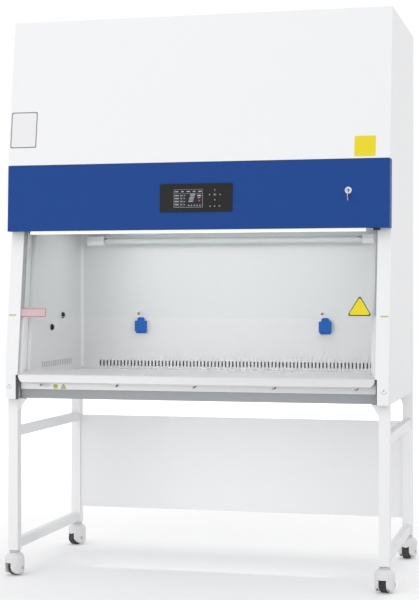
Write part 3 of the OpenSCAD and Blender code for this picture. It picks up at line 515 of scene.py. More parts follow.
def clear_glass(name, colour):
    """Clear float glass: a plain transmitting shader with a faint green cast and fine smears. Its
    index is low, since the pane is so thin that it hardly bends what is seen through it."""
    material, tree, shader = new_material(name)
    smear = noise(tree, object_place(tree), scale=7.0, detail=4.0)
    wiped = math_node(tree, "SUBTRACT", smear, 0.45, clamp=True)
    tree.links.new(math_node(tree, "MULTIPLY", wiped, 0.06), shader.inputs["Roughness"])
    shader.inputs["Base Color"].default_value = (*colour, 1)
    shader.inputs["Transmission Weight"].default_value = 1.0
    shader.inputs["IOR"].default_value = 1.1
    return material


def lit_plastic(name, colour, strength, rough=0.3):
    """A diffuser or a display mark that gives off a little light of its own."""
    material, tree, shader = new_material(name)
    cloud = noise(tree, object_place(tree), scale=40.0)
    shade = mix_colour(tree, cloud, (*(0.93 * c for c in colour), 1), (*colour, 1))
    tree.links.new(shade, shader.inputs["Base Color"])
    tree.links.new(shade, shader.inputs["Emission Color"])
    shader.inputs["Emission Strength"].default_value = strength
    shader.inputs["Roughness"].default_value = rough
    return material


# %% [markdown]
# ### The cabinet's finishes
# The casing, columns and stand are powder coated, the chamber is lined with brushed stainless
# steel, and the tray is a sheet of the same. A sheet in a bright white room shows the room more
# than itself, so it is given little metal and a pale colour that is partly painted reflection of
# the room, palest on the tray, and stays light from every side.

# %% The cabinet's own finishes
ALONG_X, UP_AND_DOWN = (2.5, 1100.0, 1100.0), (4.0, 4.0, 1100.0)
ROUND_THE_LATHE, NO_WAY = (900.0, 900.0, 5.0), (700.0, 700.0, 700.0)
WHITE = powder_coat("white casing coat", (0.89, 0.895, 0.9), drift=0.012, sheen=0.3)
STAND_WHITE = powder_coat("stand coat", (0.9, 0.9, 0.905), dust=0.25, sheen=0.3)
CASTER_WHITE = powder_coat("caster coat", (0.82, 0.82, 0.83), rough=0.3, dust=0.3)
BLUE = powder_coat("blue fascia coat", (0.012, 0.062, 0.275), rough=0.5, drift=0.04, sheen=0.15)
GREY = powder_coat("grey inner coat", (0.36, 0.375, 0.39), rough=0.5, drift=0.05)
# The pale colours of liner, tray and armrest are partly painted reflection of the white room.
LINER = brushed_metal("liner steel", (0.8, 0.802, 0.805), 0.45, UP_AND_DOWN, 0.05, metallic=0.25)
TRAY = brushed_metal("tray steel", (0.95, 0.95, 0.955), 0.45, ALONG_X, 0.06, metallic=0.1)
ARMREST_STEEL = brushed_metal("armrest steel", (0.72, 0.722, 0.725), 0.38, ALONG_X, 0.08, 0.35)
ALLOY = brushed_metal("turned alloy", (0.66, 0.67, 0.69), 0.34, ROUND_THE_LATHE, 0.12)
BRIGHT = brushed_metal("bright plated steel", (0.75, 0.76, 0.78), 0.2, NO_WAY, 0.08)
GLASS = clear_glass("sash glass", (0.97, 0.99, 0.985))
LAMP_GLASS = lit_plastic("lamp tube", (0.7, 0.73, 0.74), strength=0.06, rough=0.15)
LAMP_STRIP = lit_plastic("work lamp lens", (0.9, 0.92, 0.94), strength=0.45)
WHITE_PLASTIC = moulded_plastic("white plastic", (0.93, 0.935, 0.935), 0.45)
BLUE_PLASTIC = moulded_plastic("blue socket cover", (0.018, 0.14, 0.52), 0.4, 0.04, 0.15)
RUBBER = moulded_plastic("black rubber", (0.018, 0.018, 0.019), 0.6)
WHEEL = moulded_plastic("wheel tread", (0.012, 0.012, 0.013), 0.5, 0.1, dust=0.25)
BLACK_GLOSS = moulded_plastic("control plate", (0.014, 0.015, 0.0135), 0.25, 0.02, 0.2)
KEY_BLACK = moulded_plastic("key cap", (0.012, 0.012, 0.012), 0.35, 0.02, 0.2)
MEDIA = moulded_plastic("filter media", (0.8, 0.81, 0.8), 0.9)
print("finishes of the cabinet ready")

# %% Finishes of the small pieces
SCREEN_GLASS = moulded_plastic("display pane", (0.014, 0.016, 0.02), 0.12, 0.02, 0.3)
PRINT_WHITE = lit_plastic("printed field", (0.42, 0.45, 0.46), strength=0.12, rough=0.4)
PRINT_RED = lit_plastic("red lamp", (0.7, 0.03, 0.04), strength=0.5, rough=0.4)
SIGN_YELLOW = moulded_plastic("yellow plate", (0.84, 0.7, 0.015), 0.35)
SIGN_LIME = moulded_plastic("lime plate", (0.52, 0.6, 0.03))
MARK_OLIVE = moulded_plastic("olive height mark", (0.5, 0.56, 0.16))
SIGN_ORANGE = moulded_plastic("orange plate", (0.8, 0.3, 0.05))
SIGN_BLACK = moulded_plastic("black edge", (0.03, 0.03, 0.028))
SIGN_RED = moulded_plastic("red edge", (0.5, 0.15, 0.19))
SIGN_GREY = moulded_plastic("grey edge", (0.22, 0.2, 0.25), 0.45)
PAPER = moulded_plastic("white plate", (0.84, 0.84, 0.85), 0.5)
PAPER_PINK = moulded_plastic("pale rose plate", (0.66, 0.5, 0.53), 0.5)
SEAL = moulded_plastic("black seal and gap shade", (0.03, 0.03, 0.035), 0.6)
# Grey of the painted shade beside the sill at the columns' feet.
SHADE_GREY = moulded_plastic("painted shade grey", (0.16, 0.165, 0.17), 0.6)
# Grey of the painted shade and reflection on the glass beside the columns.
GLASS_SHADE_GREY = moulded_plastic("painted shade on glass", (0.4, 0.415, 0.415), 0.45)
# Black of painted shade, for the recesses of screws, the hook marks in the sill and the side ducts.
SHADE_BLACK = moulded_plastic("painted shade black", (0.05, 0.05, 0.05), 0.8)
HUB_GREY = moulded_plastic("hub cap", (0.5, 0.5, 0.51))
print("finishes of the small pieces ready")

# %% Which node takes which finish
FINISHED = (
    (WHITE, "side_panel_left side_panel_right rear_cover top_panel front_upper_panel"),
    (WHITE, "column_left column_right"),
    (STAND_WHITE, "stand_left stand_right stand_back_panel stand_brackets"),
    (BLUE, "control_fascia"),
    (GREY, "bottom_pan plenum_box blower_motor gear_motor"),
    (ARMREST_STEEL, "front_sill armrest"),
    (TRAY, "work_tray"),
    (LINER, "liner_back liner_left liner_right"),
    (RUBBER, "service_ports drive_belts"),
    (LAMP_GLASS, "uv_lamp"),
    (LAMP_STRIP, "work_lamp"),
    (WHITE_PLASTIC, "lamp_holders socket_boxes"),
    (BLUE_PLASTIC, "socket_cover_left socket_cover_right"),
    (MEDIA, "supply_filter exhaust_filter"),
    (ALLOY, "flow_diffuser impeller exhaust_collar sash_clamps shaft_bearings belt_idlers"),
    (GLASS, "sash_glass"),
    (BRIGHT, "drive_shaft lock_body lock_key caster_stems"),
    (BLACK_GLOSS, "display_module"),
)
FINISH_OF = {name: finish for finish, names in FINISHED for name in names.split()}
FAMILIES = (("key_", KEY_BLACK), ("caster_fork", CASTER_WHITE), ("caster_wheel", WHEEL))
for name, node in NODES.items():
    family = [finish for start, finish in FAMILIES if name.startswith(start)]
    node.data.materials.clear()
    node.data.materials.append(family[0] if family else FINISH_OF[name])
print(len(NODES), "CAD nodes finished")

# %% [markdown]
# ## Three ways to make a surface
# Almost every small piece on a cabinet is one of three things: something turned on a lathe, such as
# a screw head; something cut from sheet, such as a plate with a rolled edge; or a strip pressed
# through a die, such as a seal. Each way is one function of two parameters worked out on a whole
# grid at once, so it stays short and gives clean rows of faces.

# %% Grids of faces


def grid_faces(rows, columns, closed=True):
    """Quads that join a grid of points row by row; the last column joins the first if closed."""
    steps = columns if closed else columns - 1
    r, c = np.meshgrid(np.arange(rows - 1), np.arange(steps), indexing="ij")
    here, right = r * columns + c, r * columns + (c + 1) % columns
    quads = np.stack([here, right, right + columns, here + columns], axis=-1)
    return quads.reshape(-1, 4).tolist()


def joined(parts):
    """Several (points, faces) pairs as one pair."""
    points, faces, start = [], [], 0
    for part_points, part_faces in parts:
        points.append(part_points)
        faces.extend([[start + i for i in face] for face in part_faces])
        start += len(part_points)
    return np.concatenate(points), faces


def circle(angle):
    """Rows (cos a, sin a) for each angle a, or for each one of a grid of angles."""
    return np.stack([np.cos(angle), np.sin(angle)], axis=-1)


def full_turn(steps):
    """Equal angles round a full turn, without the last one that would fall on the first."""
    return np.linspace(0, 2 * math.pi, steps, endpoint=False)


print("grid of 3 x 4 points:", len(grid_faces(3, 4)), "faces")

# %% Turned, cut and drawn
THINNEST_EDGE = 0.01 * MM


def turned(profile, segments=32):
    """A lathe: point (a, h) = (r(h) cos a, r(h) sin a, h) for a from 0 to a full turn. The first
    and last rows lie on the axis, so both ends are closed."""
    profile = np.asarray(profile, float)
    points = np.empty((len(profile), segments, 3))
    points[:, :, :Z] = profile[:, None, :1] * circle(full_turn(segments))
    points[:, :, Z] = profile[:, None, 1]
    return points.reshape(-1, 3), grid_faces(len(profile), segments)


def rounded_outline(width, height, radius, steps=6):
    """A rectangle with round corners: four quarter circles about its corner centres."""
    arc = circle(np.linspace(0, math.pi / 2, steps + 1)) * radius
    turn = np.array([[0.0, 1.0], [-1.0, 0.0]])
    corners = []
    for k, (sx, sy) in enumerate([(1, 1), (-1, 1), (-1, -1), (1, -1)]):
        centre = np.array([sx * (width / 2 - radius), sy * (height / 2 - radius)])
        corners.append(centre + arc @ np.linalg.matrix_power(turn, k))
    return np.concatenate(corners)


def inset(outline, distance):
    """The outline moved in by distance along the mean of its two edge normals at each point."""
    before, after = np.roll(outline, 1, axis=0), np.roll(outline, -1, axis=0)
    along = after - before
    normal = np.stack([-along[:, 1], along[:, 0]], axis=-1)
    return outline + distance * normal / np.linalg.norm(normal, axis=1, keepdims=True)


def cut_plate(outline, thickness, edge=0.0):
    """A plate cut from sheet: the outline at height 0, again just under the top, and moved in by
    edge at the top, so that the rim is eased."""
    outline = np.asarray(outline, float)
    edge = max(edge, THINNEST_EDGE)
    rings = [(outline, 0.0), (outline, thickness - edge), (inset(outline, edge), thickness)]
    points = np.concatenate([np.insert(ring, Z, z, axis=1) for ring, z in rings])
    n = len(outline)
    faces = grid_faces(3, n)
    return points, faces + [list(range(n))[::-1], list(range(2 * n, 3 * n))]


def drawn(section, path, sideways):
    """A strip from a die: the section's (a, b) points stand at each path point, a along sideways
    and b square to both sideways and the path; both ends are capped."""
    section, path = np.asarray(section, float), np.asarray(path, float)
    along = np.gradient(path, axis=0)
    along /= np.linalg.norm(along, axis=1, keepdims=True)
    side = np.broadcast_to(np.asarray(sideways, float), path.shape)
    third = np.cross(along, side)
    third /= np.linalg.norm(third, axis=1, keepdims=True)
    a, b = section[None, :, :1], section[None, :, 1:]
    points = path[:, None] + a * side[:, None] + b * third[:, None]
    n = len(section)
    last = (len(path) - 1) * n
    faces = grid_faces(len(path), n)
    return points.reshape(-1, 3), faces + [list(range(n))[::-1], list(range(last, last + n))]


def blocks(rows, thickness):
    """Many little flat bricks at once: each row is (x, y, width, height) about its own middle."""
    rows = np.asarray(rows, float)
    corner = np.array([[-1, -1], [1, -1], [1, 1], [-1, 1]]) / 2
    flat = rows[:, None, :2] + corner[None] * rows[:, None, 2:]
    low = np.insert(flat, Z, 0.0, axis=-1)
    high = np.insert(flat, Z, thickness, axis=-1)
    points = np.concatenate([low, high], axis=1).reshape(-1, 3)
    brick = np.array([[3, 2, 1, 0], [4, 5, 6, 7], [0, 1, 5, 4], [1, 2, 6, 5], [2, 3, 7, 6],
                      [3, 0, 4, 7]])
    faces = brick[None] + 8 * np.arange(len(rows))[:, None, None]
    return points, faces.reshape(-1, 4).tolist()


print("a lathe, a sheet cutter, a die and a brick maker ready")

# %% [markdown]
# ## From points to a piece
# A piece is added in one place: the mesh is welded, its faces are turned outwards, edges sharper
# than a limit stay crisp, and the piece is told which body carries it and which finish it takes.

# %% Adding a piece
PIECES = []
WELD = 0.001 * MM


def add_piece(name, shape, material, body="cabinet", crease=35):
    """Makes a mesh piece from (points, faces), welds doubles, turns faces outwards and smooths all
    edges flatter than crease degrees."""
    points, faces = shape
    mesh = bpy.data.meshes.new(name)
    mesh.from_pydata(np.asarray(points).tolist(), [], faces)
    shell = bmesh.new()
    shell.from_mesh(mesh)
    bmesh.ops.remove_doubles(shell, verts=shell.verts, dist=WELD)
    bmesh.ops.recalc_face_normals(shell, faces=shell.faces)
    shell.to_mesh(mesh)
    shell.free()
    mesh.polygons.foreach_set("use_smooth", np.ones(len(mesh.polygons), bool))
    mesh.set_sharp_from_angle(angle=math.radians(crease))
    mesh.materials.append(material)
    piece = bpy.data.objects.new(name, mesh)
    bpy.context.scene.collection.objects.link(piece)
    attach(piece, body)
    PIECES.append(name)
    return piece


def placed(shape, place):
    """The shape's points taken through place, which is a function such as on_plane gives."""
    points, faces = shape
    return place(points), faces


def shifted(shape, x, y, z=0.0):
    """The shape moved by x, y and z."""
    points, faces = shape
    return points + np.array([x, y, z]), faces


print("ready to add pieces")

# %% [markdown]
# ## The controls
# The control plate is a moulded frame round a small display, with a cross of short-travel keys
# beside it. On the real one the display is a glass pane with printed fields; the keys carry a small
# white sign each. Flat bricks a few hundredths of a millimetre thick stand for the printing, and
# they give off a little light, as a backlit panel does. All fields are plain bars: no words.

# %% The fascia's plane
PLATE_ABOVE_FASCIA_FOOT = 121 * MM
plate = box("display_module")
fascia = box("control_fascia")
LOCK_PLACE = np.array(JOINTS["lock_key_turn"]["pos_m"])
rise = fascia[LO][Z] + PLATE_ABOVE_FASCIA_FOOT - LOCK_PLACE[Z]
PLATE_PLACE = np.array([plate[:, X].mean(), *LOCK_PLACE[Y:]]) + FASCIA_UP * rise / FASCIA_UP[Z]
on_fascia = on_plane(PLATE_PLACE, ACROSS, FASCIA_UP)
print("control plate middle:", np.round(PLATE_PLACE, 4).tolist())

# %% The display
SCREEN_X, SCREEN_Y = -30 * MM, -2 * MM
SCREEN_W, SCREEN_H, SCREEN_ROUND = 122 * MM, 76 * MM, 2.5 * MM
SCREEN_DEEP, PANE, PANE_EDGE = 2.2 * MM, 0.7 * MM, 0.2 * MM
PRINT = 0.05 * MM
PRINT_TOP = SCREEN_DEEP + PANE
ALARM_RADIUS, ALARM_X, ALARM_Y = 2.6 * MM, 43 * MM, -9 * MM


def frame_rows(x, y, w, h, line):
    """Four bricks that outline a field."""
    return [(x, y + h / 2, w + line, line), (x, y - h / 2, w + line, line),
            (x - w / 2, y, line, h + line), (x + w / 2, y, line, h + line)]


def display_rows():
    """The fields in millimetres about the middle of the pane, as (x, y, width, height): a header of
    short bars, four rows of value bars, a stack of level bars and a foot of dots."""
    rows = frame_rows(0, 0, 112, 68, 1.0) + frame_rows(0, 26, 112, 16, 0.6)
    rows += [(-46 + 23 * i, 26, 13 - 3 * (i % 2), 3.4) for i in range(5)]
    for i in range(4):
        y = 11 - 11.5 * i
        rows += [(-45, y, 15, 3.2), (-27, y, 9 - 2 * (i % 2), 2.4), (-15, y, 5, 2.4)]
        rows += [(-35, y - 5.7, 38, 0.5)]
    rows += [(18 - 1.6 * i, 15 - 5.4 * i, 19 - 1.5 * (i % 2), 2.6) for i in range(6)]
    rows += [(43, 10, 14, 5), (43, 2, 9, 2.4)]
    rows += [(2 + 11 * i, -27, 4, 4) for i in range(5)]
    return rows


def add_display():
    """The pane lies sunk in the plate; fields and alarm lamp lie on the pane."""
    pane = cut_plate(rounded_outline(SCREEN_W, SCREEN_H, SCREEN_ROUND), PANE, PANE_EDGE)
    fields = blocks(np.array(display_rows()) * MM, PRINT)
    alarm = turned([(0, 0), (ALARM_RADIUS, 0), (ALARM_RADIUS, PRINT), (0, PRINT)], 24)
    pane = shifted(pane, SCREEN_X, SCREEN_Y, SCREEN_DEEP)
    fields = shifted(fields, SCREEN_X, SCREEN_Y, PRINT_TOP)
    alarm = shifted(alarm, SCREEN_X + ALARM_X, SCREEN_Y + ALARM_Y, PRINT_TOP)
    add_piece("display_glass", placed(pane, on_fascia), SCREEN_GLASS)
    add_piece("display_fields", placed(fields, on_fascia), PRINT_WHITE)
    add_piece("display_alarm_lamp", placed(alarm, on_fascia), PRINT_RED)


add_display()
print(len(display_rows()), "fields on the display")

# %% [markdown]
# ### The signs on the keys
# Each key travels by itself, so its sign rides on the key's own body and lies on the key's top. The
# four arrows are one triangle turned round, and rings, bars and an open ring make up the others.

# %% The signs on the keys
KEY_TOP = 3.8 * MM
ARROW = 3.4


def cut_sign(points):
    """A flat sign cut along the points given in millimetres about the key's middle."""
    return cut_plate(np.array(points, float) * MM, PRINT)


def full_ring(inner, outer, steps=32):
    """A whole flat ring, in millimetres: a little upright rectangle from radius inner to outer,
    carried round once."""
    x, y = circle(full_turn(steps))[:, None].transpose(2, 0, 1)
    reach = np.array([inner, outer, outer, inner]) * MM
    rise = np.broadcast_to([0, 0, PRINT, PRINT], (steps, 4))
    rows = np.stack([reach * x, reach * y, rise], axis=-1)
    return np.concatenate([rows, rows[:1]]).reshape(-1, 3), grid_faces(steps + 1, 4)


def open_ring(inner, outer, start, sweep, steps=32):
    """A part of a flat ring, in millimetres: radius inner and outer at each angle of the sweep."""
    ray = circle(np.radians(start + np.linspace(0, sweep, steps + 1)))
    return cut_sign(np.concatenate([outer * ray, inner * ray[::-1]]))


def arrow(turn):
    """A triangle with its three corners on a circle, turned by so many degrees."""
    return cut_sign(ARROW * circle(np.radians(np.array([90, 210, 330]) + turn)))


def bars(*rows):
    """Bars of (x, y, width, height) in millimetres."""
    return blocks(np.array(rows) * MM, PRINT)


KEY_SIGNS = {
    "key_lamp": [full_ring(1.6, 2.4), bars((0, -4.2, 2.6, 0.8))],
    "key_left": [arrow(90)],
    "key_enter": [full_ring(4.4, 5.0), full_ring(0.2, 1.8)],
    "key_right": [arrow(-90)],
    "key_set": [bars((0, 2, 6, 0.9), (0, 0, 6, 0.9), (0, -2, 6, 0.9))],
    "key_up": [arrow(0)],
    "key_down": [arrow(180)],
    "key_power": [open_ring(2.7, 3.5, start=120, sweep=300), bars((0, 2.6, 0.9, 3.4))],
}
for key, signs in KEY_SIGNS.items():
    middle = box(key).mean(axis=0)
    above = np.dot(middle - PLATE_PLACE, FASCIA_NORMAL)
    on_key = on_plane(middle + FASCIA_NORMAL * (KEY_TOP - above), ACROSS, FASCIA_UP)
    add_piece(key + "_sign", placed(joined(signs), on_key), PRINT_WHITE, key)
print(len(KEY_SIGNS), "key signs")

# %% [markdown]
# ## Plates and strips
# On the real casing signs are thin plates that are glued on: a square one on the upper front, a
# document plate beside it, a triangle and a bordered strip on the glass, small ones on the sill and
# above the sockets. They stay bare here. Each lies on the plane that carries it, so the ones on the
# glass ride with the sash. Where a plate has a border, a slightly smaller one lies on top of it.

# %% Planes that carry the plates
CROWN_LEAN = math.radians(8)
GLASS_GAP = 0.4 * MM
COLUMN_FOOT_Z = 0.792
LINER_FOLD = 20 * MM
crown, glass, sill = box("front_upper_panel"), box("sash_glass"), box("front_sill")
liner, column = box("liner_back"), box("column_left")
BACK_WALL_Y = liner[HI][Y] - LINER_FOLD


def wall_plane(y, z, up):
    """A plane that faces the front and rises along up from depth y and height z. Returns the way
    onto it, and a function that gives the flat place of a point at room x and height."""
    up = np.asarray(up, float) / np.linalg.norm(up)
    return on_plane((0.0, y, z), ACROSS, up), lambda x, height: (x, (height - z) / up[Z])


crown_plane = wall_plane(*crown[LO][Y:], (0, math.sin(CROWN_LEAN), math.cos(CROWN_LEAN)))
glass_plane = wall_plane(*(glass[LO] + LEAN_NORMAL * GLASS_GAP)[Y:], LEAN)
sill_plane = wall_plane(*sill[LO][Y:], UP)
back_plane = wall_plane(BACK_WALL_Y, liner[LO][Z], UP)
column_plane = wall_plane(column[LO][Y], COLUMN_FOOT_Z, LEAN)
print("planes: crown, glass, sill, back wall, columns")

# %% Bare plates
PLATE_THICK = 0.25 * MM
LAYER_THICK = 0.06 * MM
RIM_SHARE = 0.4
CORNER_SHARE = 0.06
TRIANGLE_TOP, TRIANGLE_FOOT = 0.62, 0.38


def soft_rectangle(width, tall):
    """A rectangle whose corners are rounded by a small share of its shorter side."""
    return rounded_outline(width, tall, min(width, tall) * CORNER_SHARE)


def disc(width, tall):
    """A round plate: a square whose corners are as round as half its width."""
    return rounded_outline(width, tall, width / 2 - THINNEST_EDGE, steps=10)


def triangle_outline(width, tall, radius=0.07, steps=5):
    """An upright triangle with round corners: arcs about three centres set in from its corners."""
    top, foot = tall * TRIANGLE_TOP, -tall * TRIANGLE_FOOT
    centres = np.array([[0, top], [-width / 2, foot], [width / 2, foot]]) * (1 - 2 * radius)
    arcs = [circle(np.radians(np.linspace(turn - 60, turn + 60, steps + 1)))
            for turn in (90, 210, 330)]
    return np.concatenate([centre + width * radius * arc for centre, arc in zip(centres, arcs)])


def layered_plate(name, plane, middle, layers, body="cabinet", outline=soft_rectangle):
    """Plates stacked on a plane about one middle (x, z); layers are (width, height, material)."""
    place, at = plane
    height = 0.0
    for k, (width, tall, material) in enumerate(layers):
        thickness = LAYER_THICK if k else PLATE_THICK
        sheet = cut_plate(outline(width, tall), thickness, thickness * RIM_SHARE)
        piece = f"{name}_{'abcdef'[k]}" if k else name
        add_piece(piece, placed(shifted(sheet, *at(*middle), height), place), material, body)
        height += thickness


layered_plate("square_plate", crown_plane, (0.657, 1.656), [(0.080, 0.078, SIGN_YELLOW)])
layered_plate("document_plate", crown_plane, (-0.692, 1.751),
              [(0.108, 0.144, SIGN_GREY), (0.100, 0.136, PAPER)])
layered_plate("triangle_plate", glass_plane, (0.6365, 1.054),
              [(0.084, 0.070, SIGN_BLACK), (0.074, 0.060, SIGN_YELLOW)], "sash", triangle_outline)
layered_plate("bordered_strip", glass_plane, (-0.6555, 1.034),
              [(0.117, 0.033, SIGN_RED), (0.112, 0.028, PAPER_PINK)], "sash")
layered_plate("sill_strip", sill_plane, (-0.592, 0.7505), [(0.040, 0.014, PAPER)])
layered_plate("sill_round", sill_plane, (-0.5545, 0.7465), [(0.019, 0.019, SIGN_LIME)],
              outline=disc)
layered_plate("sill_triangle", sill_plane, (-0.5215, 0.7455),
              [(0.021, 0.018, SIGN_BLACK), (0.018, 0.015, SIGN_LIME)], outline=triangle_outline)
print(len(PIECES), "pieces so far")

# %% Height marks on the columns and stickers over the sockets
MARK_Z, MARK_X = 1.024, {"left": -0.731, "right": 0.7315}
SOCKET_X = {"left": -0.405, "right": 0.395}
STRIP_ASIDE, STRIP_Z = 6 * MM, 1.0225
DOT_ASIDE, DOT_Z = -12 * MM, 1.0226
for side, x in MARK_X.items():
    layered_plate(f"height_mark_{side}", column_plane, (x, MARK_Z), [(0.029, 0.0055, MARK_OLIVE)])
for side, x in SOCKET_X.items():
    layered_plate(f"socket_strip_{side}", back_plane, (x + STRIP_ASIDE, STRIP_Z),
                  [(0.036, 0.011, PAPER)])
    layered_plate(f"socket_dot_{side}", back_plane, (x + DOT_ASIDE, DOT_Z),
                  [(0.010, 0.010, SIGN_ORANGE)])
print("height marks and socket stickers")

# %% [markdown]
# ## Rubber
# Where glass runs in a folded column it needs something soft beside it, or it would rattle and
# leak. A thin strip with a rounded lip is drawn along the whole lean of each column. Two small
# black stops under the fascia keep the sash from running into the lamp.

# %% Seals in the columns
SEAL_LOW, SEAL_HIGH = 0.80, 1.90
SEAL_X, SEAL_DEEP, SEAL_WIDE = 0.7145, 8.5 * MM, 12.5 * MM
SEAL_SECTION = np.array([(0, -0.35), (8, -0.35), (9, -0.1), (9, 0.25), (8, 0.4), (0, 0.4)]) * MM


def lean_path(x, depth, low, high, steps=24):
    """Points up the lean at room x: depth behind the columns' face, from height low to high."""
    rise = (np.linspace(low, high, steps) - COLUMN_FOOT_Z) / LEAN[Z]
    foot = np.array([x, column[LO][Y], COLUMN_FOOT_Z]) - LEAN_NORMAL * depth
    return foot + rise[:, None] * LEAN


for side, sign in SIDES:
    section = SEAL_SECTION * [-sign, 1] + [sign * SEAL_WIDE, 0]
    strip = drawn(section, lean_path(sign * SEAL_X, SEAL_DEEP, SEAL_LOW, SEAL_HIGH), ACROSS)
    add_piece(f"column_seal_{side}", strip, SEAL)
print("column seals")

# %% The stops under the fascia
STOP_X = {"left": -0.6555, "right": 0.6995}
STOP_BEHIND = 24 * MM
stop = cut_plate(rounded_outline(26 * MM, 10 * MM, 3 * MM), 8 * MM, 1 * MM)
for side, x in STOP_X.items():
    under = on_plane((x, fascia[LO][Y] + STOP_BEHIND, fascia[LO][Z]), ACROSS, FRONT)
    add_piece(f"sash_stop_{side}", placed(stop, under), SEAL)
print("sash stops")

# %% [markdown]
# ## Screws, caps and hubs
# Fasteners are turned, so one lathe profile serves each kind and only its place and size change.
# Domed heads with a cross recess close the rear cover and hold the exhaust collar, the feet of the
# columns, the clamps of the sash and the brackets of the stand. They are set in by a tenth of a
# millimetre, so that no gap shows under a head.

# %% A screw head with its recess
SET_IN = 0.1 * MM
RECESS_THICK, RECESS_SUNK = 0.08 * MM, 0.03 * MM


def screw_head(radius, height, segments=24):
    """A domed head: above a straight rim of a quarter of its height, r falls along a quarter of an
    ellipse while h rises."""
    t = np.linspace(0, math.pi / 2, 6)
    dome = np.column_stack([radius * np.cos(t), height * (0.25 + 0.75 * np.sin(t))])
    return turned([(0, -SET_IN), (radius, -SET_IN), *dome[:-1], (0, height)], segments)


def cross_recess(radius, height):
    """Two dark bricks laid crosswise in the top of the head, painted shade of the cross recess;
    only a hair of them stands out.
    """
    arm, wide = 1.15 * radius, 0.22 * radius
    cross = blocks([(0, 0, arm, wide), (0, 0, wide, arm)], RECESS_THICK)
    return shifted(cross, 0, 0, height - RECESS_SUNK)


def add_screws(name, places, axes, radius, height, material=BRIGHT, body="cabinet"):
    """Screws of one size, as one piece, and the painted shade of their recesses as another. Axes
    are the plane's two ways; the heads point along their cross product."""
    planes = [on_plane(place, *axes) for place in places]
    heads = [placed(screw_head(radius, height), plane) for plane in planes]
    recesses = [placed(cross_recess(radius, height), plane) for plane in planes]
    add_piece(name, joined(heads), material, body)
    # The dark crosses are painted shade of the recesses.
    add_piece(name + "_recess", joined(recesses), SHADE_BLACK, body)


# %% Screws of the casing
REAR_X, REAR_FIRST_Z, REAR_STEP, REAR_SCREWS = 0.720, 0.757, 0.228, 6
FOOT_X, FOOT_Z = 0.7325, 0.752
COLLAR_CIRCLE, COLLAR_SCREWS = 0.139, 8
CASE_TOP_Z, FLANGE = 2.183, 2 * MM
rear_y = box("rear_cover")[HI][Y]
rear = [(sign * REAR_X, rear_y, REAR_FIRST_Z + REAR_STEP * k)
        for k in range(REAR_SCREWS) for _, sign in SIDES]
feet = [(sign * FOOT_X, column[LO][Y], FOOT_Z) for _, sign in SIDES]
vent = box("exhaust_collar").mean(axis=0)[:Z]
ring = vent + COLLAR_CIRCLE * circle(full_turn(COLLAR_SCREWS) + math.pi / COLLAR_SCREWS)
add_screws("rear_cover_screws", rear, (-ACROSS, UP), 4.4 * MM, 2.6 * MM)
add_screws("foot_screws", feet, (ACROSS, UP), 5.5 * MM, 2.4 * MM, WHITE)
collar = [(*place, CASE_TOP_Z + FLANGE) for place in ring]
add_screws("collar_screws", collar, (ACROSS, BACK), 4.2 * MM, 2.4 * MM)
print(len(rear) + len(feet) + len(collar), "screws")

# %% Screws of the sash clamps and of the brackets
CLAMP_X, CLAMP_DEEP, CLAMP_Z = 0.7065, 4.0 * MM, (1.505, 1.545)
BRACKET_X, BRACKET_Y, BRACKET_Z = 0.692, (-0.352, 0.398), 0.693
clamps = [lean_path(sign * CLAMP_X, CLAMP_DEEP, z, z, 1)[0] for _, sign in SIDES for z in CLAMP_Z]
brackets = [(sign * BRACKET_X, y, BRACKET_Z) for _, sign in SIDES for y in BRACKET_Y]
add_screws("clamp_screws", clamps, (ACROSS, LEAN), 2.6 * MM, 1.4 * MM, body="sash")
add_screws("bracket_screws", brackets, (ACROSS, FRONT), 5.0 * MM, 3.0 * MM)
print(len(clamps) + len(brackets), "more screws")

# %% [markdown]
# ### Caster hubs
# A snap-on cap covers each end of a wheel's axle. It sits on the cheek of the hood, so it swivels
# with the caster but doesn't roll with the wheel.

# %% Caster hubs
AXLE_HALF = 36.4 * MM
HUB = np.array([(0, -0.8), (7, -0.8), (7, 1.2), (6, 2.0), (3, 2.4), (0, 2.5)]) * MM
CASTERS = ("front_left", "front_right", "rear_left", "rear_right")
for corner in CASTERS:
    joint = JOINTS[f"wheel_{corner}_roll"]
    axle, centre = np.array(joint["axis"]), np.array(joint["pos_m"])
    across = np.cross(axle, UP)
    caps = []
    for _, sign in SIDES:
        end = on_plane(centre + sign * axle * AXLE_HALF, across, np.cross(sign * axle, across))
        caps.append(placed(turned(HUB, 32), end))
    add_piece(f"hub_caps_{corner}", joined(caps), HUB_GREY, f"caster_{corner}")
print("hub caps on", len(CASTERS), "casters")

# %% [markdown]
# ### Ends of the ultraviolet tube
# A tube ends in an alloy cap, which shows between the glass and the holder. It stands just under a
# millimetre proud of the glass all round, and its rim slopes down to it, as a pressed cap's does.

# %% Ends of the ultraviolet tube
TUBE_END_X = 0.5583
CAP = np.array([(0, 0), (13.5, 0), (13.8, 0.6), (13.8, 12), (13.3, 14), (13.05, 14.2),
                (0, 14.2)]) * MM
tube_y, tube_z = box("uv_lamp").mean(axis=0)[Y:]
for side, sign in SIDES:
    end = on_plane((sign * TUBE_END_X, tube_y, tube_z), FRONT, np.cross(-sign * ACROSS, FRONT))
    add_piece(f"tube_cap_{side}", placed(turned(CAP, 48), end), ALLOY)
print("tube caps")

# %% [markdown]
# ### The key's ring and the keyway
# The key hangs with its wire ring in the lock while the cabinet is in use. The ring rides with the
# key, and so does a dark ring of painted shade for the gap round the plug, since the plug turns
# with the key.

# %% The key's ring and the keyway
RING_RADIUS, WIRE = 9 * MM, 0.8 * MM
HOLE_IN, HOLE_UP, RING_DROP = 8 * MM, 6 * MM, 8 * MM
PLUG_FACE = 3.7 * MM
key = box("lock_key")
hole = np.array([key[:, X].mean(), key[LO][Y] + HOLE_IN, key[LO][Z] + HOLE_UP])


